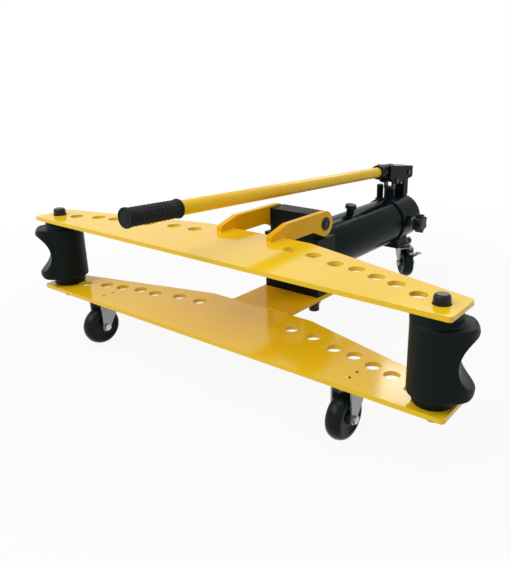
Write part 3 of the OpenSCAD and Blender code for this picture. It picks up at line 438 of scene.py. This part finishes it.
def ground_chrome():
    """Ground and plated ram, with a thin film of oil."""
    f = Finish("ground_chrome")
    lines = f.noise(scale=1.0, detail=2, rough=0.5, where=f.stretched((40, 2600, 40)))
    tone = f.mix(f.noise(scale=18, detail=3), *CHROME)
    film = f.ramp(f.noise(scale=30, detail=5, rough=0.6), low=0.5, high=0.75)
    tone = f.mix(film * 0.2, tone, CHROME_OIL)
    sheen = f.ramp(lines, low=0.3, high=0.7, at_low=0.06, at_high=0.12)
    return f.surface({
        "Base Color": tone, "Roughness": sheen + film * 0.08, "Metallic": 1.0,
        "Normal": f.bump(lines, depth=0.006 * MM, strength=0.4)})


def black_steel():
    """Oil-blackened steel, worn bright on its rims."""
    f = Finish("black_steel")
    tone = f.mix(f.noise(scale=40, detail=5), *BLACKENED)
    rubbed = f.edges(0.9 * MM) * f.ramp(f.noise(scale=120, detail=5, rough=0.6), low=0.46, high=0.62)
    tone = f.mix(rubbed * 0.5, tone, BLACKENED_RIM)
    oily = f.noise(scale=70, detail=5, rough=0.65)
    sheen = f.ramp(oily, low=0.3, high=0.7, at_low=0.18, at_high=0.30)
    grain = f.noise(scale=900, detail=3, rough=0.5)
    return f.surface({
        "Base Color": tone, "Roughness": sheen, "Metallic": 0.2, "Specular IOR Level": 0.3,
        "Normal": f.bump(grain, depth=0.03 * MM, strength=0.5)})


def zinc_plate():
    """Zinc plating: spangled, a little tinted, with paler rims as a painted edge highlight, and some
    white rust.
    """
    f = Finish("zinc_plate")
    spangle = f.node("SeparateXYZ", sockets={0: f.cells(scale=210, out="Color")}, out="X")
    tone = f.mix(spangle * 0.5 + f.noise(scale=30, detail=4) * 0.5, *ZINC)
    tint = f.ramp(f.noise(scale=55, detail=4, rough=0.6), low=0.48, high=0.72)
    tone = f.mix(tint * 0.3, tone, ZINC_TINT)
    # Paler tone on every rounded edge: a painted edge highlight
    tone = f.mix(f.edges(0.8 * MM) * 0.4, tone, ZINC_RIM_HIGHLIGHT)
    white_rust = f.ramp(f.noise(scale=85, detail=6, rough=0.7), low=0.62, high=0.76)
    tone = f.mix(white_rust * 0.3, tone, WHITE_RUST)
    sheen = f.ramp(spangle, low=0.0, high=1.0, at_low=0.30, at_high=0.44)
    grain = f.noise(scale=340, detail=4, rough=0.6)
    return f.surface({
        "Base Color": tone, "Roughness": sheen + white_rust * 0.2, "Metallic": 0.85,
        "Normal": f.bump(grain, depth=0.05 * MM, strength=0.5)})


def moulded(name, tones, grain, relief, smooth, dull, dusty):
    """Moulded rubber or plastic: cloudy black, fine grain, dust on top and paler edges as a painted edge
    highlight.
    """
    f = Finish(name)
    tone = f.mix(f.noise(scale=28, detail=5, rough=0.6), *tones)
    lying = f.ramp(f.upward(), low=-0.6, high=1.0, at_low=0.35, at_high=1.0)
    dust = f.ramp(f.noise(scale=75, detail=6, rough=0.7), low=0.44, high=0.74) * lying
    tone = f.mix(dust * dusty, tone, MOULDED_DUST)
    # Paler tone on every rounded edge: a painted edge highlight
    worn = [EDGE_HIGHLIGHT_GAIN * part for part in tones[1][:3]] + [1]
    tone = f.mix(f.edges(0.9 * MM) * 0.4, tone, worn)
    sheen = f.ramp(f.noise(scale=40, detail=5, rough=0.6), low=0.3, high=0.7, at_low=smooth, at_high=dull)
    return f.surface({
        "Base Color": tone, "Roughness": sheen,
        "Specular IOR Level": 0.14, "Specular Tint": COOL_SHEEN,
        "Normal": f.bump(f.noise(scale=grain, detail=3, rough=0.55), depth=relief, strength=0.6)})


STEEL_ROUND = {axis: bright_steel(axis) for axis in "xyz"}
BLACK_STEEL = black_steel()
GLOSS_YELLOW = yellow_enamel("yellow_enamel", YELLOW, shine=0.30, smooth=0.09, dull=0.14)
# Satin enamel in darker, more orange tones: painted shade on the arms and the tongue
SHADED_SATIN_ENAMEL = yellow_enamel("yellow_enamel_satin", YELLOW_TONES_IN_SHADE, shine=0.10, smooth=0.18, dull=0.26)
HANDLE_YELLOW = yellow_enamel("yellow_enamel_tube", TUBE_YELLOW, shine=0.24, smooth=0.24, dull=0.32)
FINISHES = {
    "yellow_paint": GLOSS_YELLOW,
    "black_casting": black_casting(),
    "black_paint": black_enamel(),
    "black_plastic": moulded(
        "black_plastic", RESIN, grain=480, relief=0.05 * MM, smooth=0.30, dull=0.42, dusty=0.16),
    "black_steel": BLACK_STEEL,
    "bright_steel": STEEL_ROUND["x"],
    "ground_steel": ground_chrome(),
    "zinc_plate": zinc_plate(),
    "seal_rubber": moulded(
        "seal_rubber", RUBBER, grain=700, relief=0.05 * MM, smooth=0.40, dull=0.52, dusty=0.10),
    "grip_rubber": moulded(
        "grip_rubber", RUBBER, grain=900, relief=0.05 * MM, smooth=0.46, dull=0.62, dusty=0.20),
    "tyre_rubber": moulded(
        "tyre_rubber", TYRE, grain=620, relief=0.015 * MM, smooth=0.11, dull=0.19, dusty=0.06)}
# Nodes whose finish differs from that of their material slot; the arms and the tongue take a darker, more
# orange copy of the gloss yellow, which paints the shade on them
FINISH_OF_NODE = {
    "left_hinge_arm": SHADED_SATIN_ENAMEL, "right_hinge_arm": SHADED_SATIN_ENAMEL, "tongue_plate": SHADED_SATIN_ENAMEL,
    "handle_tube": HANDLE_YELLOW, "castor_screws": GLOSS_YELLOW,
    "gland_nut": STEEL_ROUND["y"], "pressure_cylinder": STEEL_ROUND["y"],
    "return_spring": STEEL_ROUND["y"], "rear_castor_kingpin": STEEL_ROUND["z"],
    "pump_plunger": BLACK_STEEL, "plunger_pin": BLACK_STEEL, "fulcrum_pin": BLACK_STEEL,
    "hinge_pin": BLACK_STEEL, "hinge_pin_collars": BLACK_STEEL}


def finish_of(node):
    return FINISH_OF_NODE.get(node, FINISHES[SLOTS[node]])


# Mesh pieces

def link(thing):
    """Puts an object in the scene."""
    bpy.context.scene.collection.objects.link(thing)


def add_piece(name, bm, finish, body):
    """Makes an object of a bmesh, smooth up to its creases, riding on a body."""
    mesh = bpy.data.meshes.new(name)
    bm.to_mesh(mesh)
    bm.free()
    mesh.shade_smooth()
    mesh.set_sharp_from_angle(angle=CREASE_ANGLE)
    mesh.materials.append(finish)
    piece = bpy.data.objects.new(name, mesh)
    link(piece)
    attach(piece, body)
    return piece


def solid_of(node):
    """A merged copy of a node's solid, its flat faces whole again."""
    bm = bmesh.new()
    bm.from_mesh(frame["nodes"][node].data)
    bmesh.ops.remove_doubles(bm, verts=bm.verts, dist=MERGE)
    bmesh.ops.dissolve_limit(bm, angle_limit=FLAT_ANGLE, verts=bm.verts, edges=bm.edges)
    return bm


def sharp_edges(bm):
    return [e for e in bm.edges if len(e.link_faces) == 2 and e.calc_face_angle() > CREASE_ANGLE]


def edges_at(verts):
    """The edges at some vertices, each of them once and in a fixed order."""
    return list(dict.fromkeys(edge for vert in verts for edge in vert.link_edges))


def body_of(node):
    return frame["nodes"][node]["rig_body"]


def stand_for(node, bm, ending):
    """Makes a bmesh the piece that stands for a node, with the node's finish and body."""
    piece = add_piece(node + ending, bm, finish_of(node), body_of(node))
    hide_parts(node)
    return piece


def bevel_sharp(bm, width):
    bmesh.ops.bevel(
        bm, geom=sharp_edges(bm), offset=width, offset_type="OFFSET", affect="EDGES",
        segments=2, profile=0.5, material=-1, clamp_overlap=True)


def keep_flats(piece):
    """Lets large faces set the shading, so that flats stay flat beside their rounded edges."""
    weighted = piece.modifiers.new("flats", "WEIGHTED_NORMAL")
    weighted.mode = "FACE_AREA"
    weighted.weight = 100
    weighted.keep_sharp = True


def eased(node, width):
    """Stands for a node with the same solid, its sharp edges rounded."""
    bm = solid_of(node)
    bevel_sharp(bm, width)
    keep_flats(stand_for(node, bm, "_eased"))


def turned(bm, profile, origin, along, steps):
    """Spins a profile of (distance along, radius) pairs round an axis and closes it."""
    side = along.orthogonal().normalized()
    chain = [bm.verts.new(origin + along * far + side * radius) for far, radius in profile]
    edges = [bm.edges.new(pair) for pair in zip(chain, chain[1:])]
    bmesh.ops.spin(
        bm, geom=chain + edges, cent=origin, axis=along, angle=math.tau, steps=steps, use_merge=True)
    bmesh.ops.remove_doubles(bm, verts=bm.verts, dist=MERGE)
    bmesh.ops.recalc_face_normals(bm, faces=bm.faces)


def mirrored(profile):
    """A profile on the other side of its origin."""
    return [(-far, radius) for far, radius in profile]


def soft_casting(node):
    """Stands for a cast roller: the same solid with broad bosses, its edges melted round."""
    bm = solid_of(node)
    low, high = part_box(node)
    pin_low, pin_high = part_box(node + "_pin")
    back = ((pin_low + pin_high - low - high) * Vector((1, 1, 0))).normalized()
    bosses = (
        (high.z, -1, ROLLER_BOSS_R, ROLLER_BOSS_BACK),
        (low.z, 1, ROLLER_FOOT_R, ROLLER_FOOT_BACK))
    for level, inward, radius, shift in bosses:
        axis = (pin_low + pin_high) / 2 + back * shift
        axis.z = level
        collar = [
            (ROLLER_BOSS_H, ROLLER_BORE), (ROLLER_BOSS_H, radius), (ROLLER_BOSS_EDGE, radius),
            (0, radius - ROLLER_BOSS_EDGE), (0, ROLLER_BORE), (ROLLER_BOSS_H, ROLLER_BORE)]
        turned(bm, collar, axis, Z * inward, ROLLER_STEPS)
    piece = stand_for(node, bm, "_casting")
    remesh = piece.modifiers.new("voxels", "REMESH")
    remesh.mode = "VOXEL"
    remesh.voxel_size = CAST_VOXEL
    remesh.use_smooth_shade = True
    smooth = piece.modifiers.new("melt", "SMOOTH")
    smooth.factor = CAST_MELT
    smooth.iterations = CAST_PASSES


def grip():
    """Rubber grip: a flange at each end, rows of shallow pads between them and a dished end."""
    low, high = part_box("handle_grip")
    along = Vector((0, -math.cos(HANDLE_TILT), math.sin(HANDLE_TILT)))
    outer = (high.x - low.x) / 2
    length = (high.y - low.y - 2 * outer * math.sin(HANDLE_TILT)) / math.cos(HANDLE_TILT)
    origin = (low + high) / 2 - along * length / 2
    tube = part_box("handle_tube")
    inner = (tube[1].x - tube[0].x) / 2 + SEAT
    flange = outer + GRIP_FLANGE_PROUD
    shoulder = flange - GRIP_ROUND
    sleeve = outer - GRIP_SLEEVE
    first = GRIP_FLANGE
    last = length - GRIP_FLANGE
    pitch = (last - first) / GRIP_ROWS
    dish = length - GRIP_DISH
    button = length - GRIP_BUTTON_DEPTH * GRIP_DISH
    profile = [
        (0, inner), (0, shoulder), (GRIP_CORNER, flange), (first - GRIP_ROUND, flange),
        (first, shoulder), (first + GRIP_SLEEVE_START, sleeve)]
    profile += [(first + pitch * row, sleeve) for row in range(1, GRIP_ROWS)]
    profile += [
        (last - GRIP_SLEEVE_START, sleeve), (last, shoulder), (last + GRIP_ROUND, flange),
        (length - GRIP_CORNER, flange), (length, shoulder), (length, flange - GRIP_LIP),
        (dish, flange - GRIP_LIP_FOOT), (dish, GRIP_BUTTON_FOOT * outer),
        (button, GRIP_BUTTON_TOP * outer), (button, 0)]
    bm = bmesh.new()
    turned(bm, profile, origin, along, GRIP_PADS)
    margin = GRIP_PAD_MARGIN * pitch
    pads = []
    for face in bm.faces:
        reach = (face.calc_center_median() - origin).dot(along)
        if first + margin < reach < last - margin and len(face.verts) == 4:
            pads.append(face)
    bmesh.ops.inset_individual(bm, faces=pads, thickness=GRIP_PAD_GAP, use_even_offset=True)
    bmesh.ops.inset_individual(
        bm, faces=pads, thickness=GRIP_PAD_SLOPE, depth=GRIP_PAD, use_even_offset=True)
    piece = stand_for("handle_grip", bm, "_pads")
    rounding = piece.modifiers.new("rounding", "SUBSURF")
    rounding.levels = rounding.render_levels = GRIP_ROUNDING


def tyre(node):
    """Solid rubber tyre: round tread with a raised mould line, and a groove in each wall."""
    low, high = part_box(node)
    reach = (high.z - low.z) / 2
    crown = reach - MOULD_LINE
    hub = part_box(node.replace("tyre", "wheel_hub"))
    bore = (hub[1].z - hub[0].z) / 2 + SEAT
    half = TYRE_WIDTH / 2
    tread = []
    for step in range(TYRE_ARC_STEPS + 1):
        angle = math.pi * step / TYRE_ARC_STEPS
        fall = TYRE_CROWN * (1 - math.sin(angle) ** TYRE_FULLNESS)
        tread.append((-half * math.cos(angle), crown - fall))
    top = TYRE_ARC_STEPS // 2
    tread[top:top + 1] = [(-MOULD_LINE, crown), (0, reach), (MOULD_LINE, crown)]
    wall = [(-half, bore)] + [(depth - half, bore + height) for depth, height in TYRE_GROOVE]
    profile = wall + tread + mirrored(wall[::-1]) + wall[:1]
    bm = bmesh.new()
    turned(bm, profile, (low + high) / 2, WHEEL_AXIS[node], TYRE_STEPS)
    stand_for(node, bm, "_moulded")


def wheel_disc(node, tyre_node):
    """Moulded wheel: long boss, dished sides with a raised ring, and a rim inside the tyre."""
    low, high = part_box(node)
    reach = (high.z - low.z) / 2
    half = TYRE_WIDTH / 2
    tip = half + HUB_PROUD
    side = [
        (tip, HUB_BORE), (tip, HUB_BOSS - HUB_ROUND), (tip - HUB_ROUND, HUB_BOSS),
        (half - HUB_FILLET_DEPTH, HUB_BOSS + HUB_ROUND), (half - HUB_DISH, HUB_BOSS + HUB_FILLET),
        (half - HUB_DISH, reach - HUB_DISH_END), (half - HUB_RING, reach - HUB_RING_START),
        (half - HUB_RING, reach - HUB_RING_END), (half - HUB_RIM, reach - HUB_RIM_START),
        (half - HUB_RIM, reach)]
    profile = mirrored(side) + side[::-1] + mirrored(side[:1])
    bm = bmesh.new()
    turned(bm, profile, (low + high) / 2, WHEEL_AXIS[tyre_node], HUB_STEPS)
    bevel_sharp(bm, HUB_EDGE)
    keep_flats(stand_for(node, bm, "_dished"))


def uneven(index):
    """Size of a bead's ring, from the sum of a short and a long wave."""
    wave, swell = [size * math.sin(index * pace) for size, pace in (BEAD_WAVE, BEAD_SWELL)]
    return 1.0 + wave + swell


def bead(name, route, radius, body, slot, closed=False):
    """Weld bead: rings of uneven size along a route of (point, direction), joined into one skin."""
    bm = bmesh.new()
    loops = []
    for index, (point, along) in enumerate(route):
        place = Matrix.Translation(point) @ along.to_track_quat("Z", "Y").to_matrix().to_4x4()
        ring = bmesh.ops.create_circle(
            bm, radius=radius * uneven(index), segments=BEAD_SIDES, matrix=place)["verts"]
        loops.append(edges_at(ring))
    pairs = list(zip(loops, loops[1:]))
    if closed:
        pairs.append((loops[-1], loops[0]))
    for first, second in pairs:
        bmesh.ops.bridge_loops(bm, edges=first + second)
    if not closed:
        bmesh.ops.holes_fill(bm, edges=loops[0] + loops[-1], sides=BEAD_SIDES)
    bmesh.ops.recalc_face_normals(bm, faces=bm.faces)
    add_piece(name, bm, FINISHES[slot], body)


def straight(start, end):
    """Route of a bead along a line."""
    along = (end - start).normalized()
    count = max(2, round((end - start).length / BEAD_PITCH))
    return [(start.lerp(end, step / count), along) for step in range(count + 1)]


def round_y(centre, radius):
    """Route of a bead round an axis along Y."""
    count = round(math.tau * radius / BEAD_PITCH)
    route = []
    for step in range(count):
        angle = math.tau * step / count
        out = Vector((math.cos(angle), 0, math.sin(angle)))
        route.append((centre + out * radius, Vector((-out.z, 0, out.x))))
    return route


def tongue_welds():
    """Beads over and under the seam between the lower wing and the tongue."""
    low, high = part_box("lower_wing_plate")
    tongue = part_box("tongue_plate")
    for name, level in (("tongue_weld_top", high.z), ("tongue_weld_under", low.z)):
        start = Vector((tongue[0].x + TONGUE_BEAD_INSET, high.y, level))
        end = Vector((tongue[1].x - TONGUE_BEAD_INSET, high.y, level))
        bead(name, straight(start, end), TONGUE_BEAD, "base", "yellow_paint")


def arm_welds(node):
    """Beads along both sides and the front of an arm on the upper wing."""
    low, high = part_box(node)
    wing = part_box("upper_wing_plate")[1]
    front = low.y + ARM_BEAD_INSET
    rear = wing.y - ARM_BEAD_INSET
    lines = (
        ("_weld_in", (low.x, front), (low.x, rear)),
        ("_weld_out", (high.x, front), (high.x, rear)),
        ("_weld_toe", (low.x, low.y), (high.x, low.y)))
    for ending, start, end in lines:
        route = straight(Vector((*start, wing.z)), Vector((*end, wing.z)))
        bead(node + ending, route, ARM_BEAD, body_of(node), "yellow_paint")


def tank_welds():
    """Beads round both ends of the tank."""
    low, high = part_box("reservoir_tube")
    middle = (low + high) / 2
    radius = (high.x - low.x) / 2 + TANK_BEAD_PROUD
    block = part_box("head_block")
    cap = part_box("end_cap")
    for name, y in (("tank_front_weld", block[1].y), ("tank_rear_weld", cap[0].y)):
        route = round_y(Vector((middle.x, y, middle.z)), radius)
        bead(name, route, TANK_BEAD, "base", "black_paint", closed=True)


def screw_sockets():
    """Castor screws, with a round socket sunk into each flat top, its floor and walls dark, which also
    paints the shade in the socket.
    """
    bm = solid_of("castor_screws")
    bevel_sharp(bm, FINE_EDGE)
    tops = [f for f in bm.faces if f.normal.dot(Z) > FACING and len(f.verts) > ROUND_FACE_SIDES]
    bmesh.ops.inset_individual(bm, faces=tops, thickness=SCREW_RIM, use_even_offset=True)
    made = bmesh.ops.inset_individual(
        bm, faces=tops, thickness=SOCKET_DRAFT, depth=-SCREW_SOCKET, use_even_offset=True)
    # The socket's floor and walls take the black steel: dark steel, and painted shade in the recess
    for face in tops + made["faces"]:
        face.material_index = 1
    piece = stand_for("castor_screws", bm, "_sockets")
    piece.data.materials.append(BLACK_STEEL)
    keep_flats(piece)


def knob_insert():
    """Pressed steel cap in the middle of the release knob."""
    low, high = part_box("release_valve_knob")
    face = Vector((high.x, (low.y + high.y) / 2, (low.z + high.z) / 2))
    radius = (high.z - low.z) * KNOB_CAP_SHARE
    profile = [
        (-KNOB_CAP_SUNK, 0), (-KNOB_CAP_SUNK, radius), (KNOB_CAP_LOW, radius),
        (KNOB_CAP_TOP, radius - KNOB_CAP_ROUND), (KNOB_CAP_TOP, radius * KNOB_CAP_RING),
        (KNOB_CAP_LOW, radius * KNOB_CAP_DIMPLE), (KNOB_CAP_LOW, 0)]
    bm = bmesh.new()
    turned(bm, profile, face, X, KNOB_CAP_STEPS)
    add_piece("release_knob_cap", bm, BLACK_STEEL, body_of("release_valve_knob"))


def coil():
    """Return spring: round wire wound from the block to the piston, which presses it together in use; the
    wound piece keeps its full length.
    """
    low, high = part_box("return_spring")
    centre = (low + high) / 2
    radius = (high.x - low.x - SPRING_WIRE) / 2
    steps = SPRING_TURNS * SPRING_STEPS
    rise = Y * ((high.y - low.y - SPRING_WIRE) / steps)
    start = Matrix.Translation((centre.x + radius, low.y + SPRING_WIRE / 2, centre.z))
    bm = bmesh.new()
    ring = bmesh.ops.create_circle(
        bm, radius=SPRING_WIRE / 2, segments=SPRING_WIRE_SIDES, matrix=start)["verts"]
    bmesh.ops.spin(
        bm, geom=ring + edges_at(ring), cent=centre, axis=Y, dvec=rise,
        angle=math.tau * SPRING_TURNS, steps=steps)
    ends = [edge for edge in bm.edges if edge.is_boundary]
    bmesh.ops.holes_fill(bm, edges=ends, sides=SPRING_WIRE_SIDES)
    bmesh.ops.recalc_face_normals(bm, faces=bm.faces)
    piece = stand_for("return_spring", bm, "_wound")
    joints = {joint["name"]: joint for joint in frame["record"]["behaviour"]["joints"]}
    keep = 1 - joints["ram_stroke"]["range_m"][1] / (high.y - low.y)
    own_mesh(piece)


def cap_back():
    """Turned step on the back of the rear cap, and the hexagon plug with its washer in the middle."""
    low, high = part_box("end_cap")
    face = Vector(((low.x + high.x) / 2, high.y, (low.z + high.z) / 2))
    outer = (high.x - low.x) / 2 * CAP_STEP_SHARE
    inner = outer - CAP_STEP
    step = [
        (-CAP_SUNK, inner), (-CAP_SUNK, outer), (CAP_STEP_LOW, outer),
        (CAP_STEP_TOP, outer - CAP_STEP_ROUND), (CAP_STEP_TOP, inner + CAP_STEP_ROUND),
        (CAP_STEP_LOW, inner), (-CAP_SUNK, inner)]
    washer = [
        (-CAP_SUNK, 0), (-CAP_SUNK, WASHER_R), (WASHER_LOW, WASHER_R),
        (WASHER_TOP, WASHER_R - WASHER_ROUND), (WASHER_TOP, 0)]
    plug = [
        (PLUG_FOOT, 0), (PLUG_FOOT, PLUG_R), (PLUG_SHOULDER, PLUG_R),
        (PLUG_TOP, PLUG_R * PLUG_TOP_SHARE), (PLUG_TOP, 0)]
    rounds = (
        ("cap_back_step", step, CAP_STEP_STEPS, "black_paint"),
        ("cap_plug_washer", washer, WASHER_STEPS, "zinc_plate"),
        ("cap_plug_head", plug, HEXAGON, "black_steel"))
    for name, profile, steps, slot in rounds:
        bm = bmesh.new()
        turned(bm, profile, face, Y, steps)
        bevel_sharp(bm, CAP_EDGE)
        keep_flats(add_piece(name, bm, FINISHES[slot], body_of("end_cap")))


def hinge_sizes():
    """Middle and radius of the hinge pin, and how far out the arms' outer faces stand."""
    low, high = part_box("hinge_pin")
    centre = (low + high) / 2
    radius = (high.z - low.z) / 2
    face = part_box("right_hinge_arm")[1].x - centre.x
    return centre, radius, face


def hinge_pin():
    """Hinge pin with a turned ring in each end."""
    centre, radius, face = hinge_sizes()
    tip = face + PIN_PROUD
    rim = tip - PIN_RIM_DEPTH
    shares = [share * radius for share in PIN_RING_SHARES]
    end = [(tip, 0)] + list(zip((tip, tip - PIN_RING, tip - PIN_RING, rim), shares))
    end += [(rim, radius - PIN_CHAMFER), (rim - PIN_CHAMFER, radius)]
    bm = bmesh.new()
    turned(bm, mirrored(end) + end[::-1], centre, X, PIN_STEPS)
    bevel_sharp(bm, FINE_EDGE)
    keep_flats(stand_for("hinge_pin", bm, "_turned"))


def snap_rings():
    """A snap ring on the hinge pin beside each arm, which stands for the broader collars."""
    centre, radius, face = hinge_sizes()
    start = face + SNAP_GAP
    stop = start + SNAP_RING_T
    inner = radius + SNAP_PLAY
    outer = radius + SNAP_RING
    ring = [(start, inner), (start, outer), (stop, outer), (stop, inner), (start, inner)]
    bm = bmesh.new()
    for along in (X, -X):
        turned(bm, ring, centre, along, PIN_STEPS)
    bevel_sharp(bm, FINE_EDGE)
    keep_flats(stand_for("hinge_pin_collars", bm, "_snap_rings"))


# The whole bender

for node, solid in frame["nodes"].items():
    solid.data.materials.clear()
    solid.data.materials.append(finish_of(node))
for node, width in EASED.items():
    eased(node, width * MM)
for node in ("left_roller", "right_roller"):
    soft_casting(node)
for node in WHEEL_AXIS:
    tyre(node)
    wheel_disc(node.replace("tyre", "wheel_hub"), node)
screw_sockets()
grip()
tongue_welds()
for node in ("left_hinge_arm", "right_hinge_arm"):
    arm_welds(node)
tank_welds()
knob_insert()
coil()
cap_back()
hinge_pin()
snap_rings()


# Stage, light and camera

WHITE = grey(1)
FLOOR_GREY = grey(0.62)
FLOOR_REACH = 14
# Distances between which the floor clears to white, and how white it is at each
CLEARING = (0.55, 1.4)
CLEARNESS = (0.92, 1.0)
AMBIENT = 0.50
# Rays that see the studio white
WHITE_RAYS = ("Is Camera Ray", "Is Glossy Ray", "Is Transmission Ray")
# Name, place, aim, size and watts of each lamp
LAMPS = (
    ("overhead_softbox", (0.1, -0.2, 2.4), (0, -0.1, 0.1), (2.4, 1.8), 14),
    ("front_softbox", (-0.8, -2.0, 2.0), (0, -0.2, 0.15), (2.4, 1.4), 32),
    ("back_strip", (-0.45, 2.2, 1.6), (0.0, 0.1, 0.2), (1.0, 0.25), 6))
# Camera as solved from the photo, its place along Y taken from the front of the lower wing
SENSOR = 36
LENS = 39.14
SHIFT_X = -0.1048
CAMERA_X = 0.7347
CAMERA_AHEAD = 0.6787
CAMERA_HEIGHT = 0.5520
CAMERA_DIP = 19.70
CAMERA_TURN = 35.43


def seen_white(tree):
    """One for the rays that see the studio white, zero for those that only carry its light."""
    path = tree.nodes.new("ShaderNodeLightPath")
    camera, glossy, through = [Flow(tree, path.outputs[name]) for name in WHITE_RAYS]
    return (camera + glossy + through).math("MINIMUM", 1.0)


def studio_floor():
    """Plain floor: grey to the light, white to the eye, with a soft shadow near the part."""
    bm = bmesh.new()
    bmesh.ops.create_grid(bm, x_segments=1, y_segments=1, size=FLOOR_REACH)
    mesh = bpy.data.meshes.new("studio_floor")
    bm.to_mesh(mesh)
    bm.free()
    floor = bpy.data.objects.new("studio_floor", mesh)
    link(floor)
    f = Finish("studio_floor")
    sheet = f.node("BsdfDiffuse", sockets={"Color": FLOOR_GREY})
    glow = f.node("Emission", sockets={"Color": WHITE, "Strength": 1.0})
    away = f.node("VectorMath", {"operation": "LENGTH"}, {0: f.place}, "Value")
    clear = f.ramp(away, *CLEARING, *CLEARNESS)
    white = f.node("MixShader", sockets={0: seen_white(f.tree) * clear, 1: sheet, 2: glow})
    f.node("OutputMaterial", sockets={"Surface": white})
    mesh.materials.append(f.material)


def studio_world():
    """White surroundings, dimmer as a light than as they are seen."""
    world = bpy.data.worlds.new("studio")
    world.use_nodes = True
    tree = world.node_tree
    back = tree.nodes["Background"]
    feed(tree, back.inputs["Color"], WHITE)
    feed(tree, back.inputs["Strength"], seen_white(tree) * (1.0 - AMBIENT) + AMBIENT)
    bpy.context.scene.world = world


def studio_lamps():
    """Large soft lamps, each turned to its aim."""
    for name, place, aim, size, power in LAMPS:
        lamp = bpy.data.lights.new(name, "AREA")
        lamp.shape = "RECTANGLE"
        lamp.size, lamp.size_y = size
        lamp.energy = power
        holder = bpy.data.objects.new(name, lamp)
        holder.location = place
        holder.rotation_euler = (Vector(aim) - Vector(place)).to_track_quat("-Z", "Y").to_euler()
        link(holder)


def photo_camera():
    """The photo's own view."""
    data = bpy.data.cameras.new("photo_camera")
    data.sensor_width = SENSOR
    data.lens = LENS
    data.shift_x = SHIFT_X
    camera = bpy.data.objects.new("photo_camera", data)
    camera.location = (CAMERA_X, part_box("lower_wing_plate")[0].y - CAMERA_AHEAD, CAMERA_HEIGHT)
    camera.rotation_euler = (math.radians(90 - CAMERA_DIP), 0, math.radians(CAMERA_TURN))
    link(camera)
    bpy.context.scene.camera = camera


photo_camera()
studio_floor()
studio_world()
studio_lamps()
bpy.context.scene.view_settings.view_transform = "Standard"
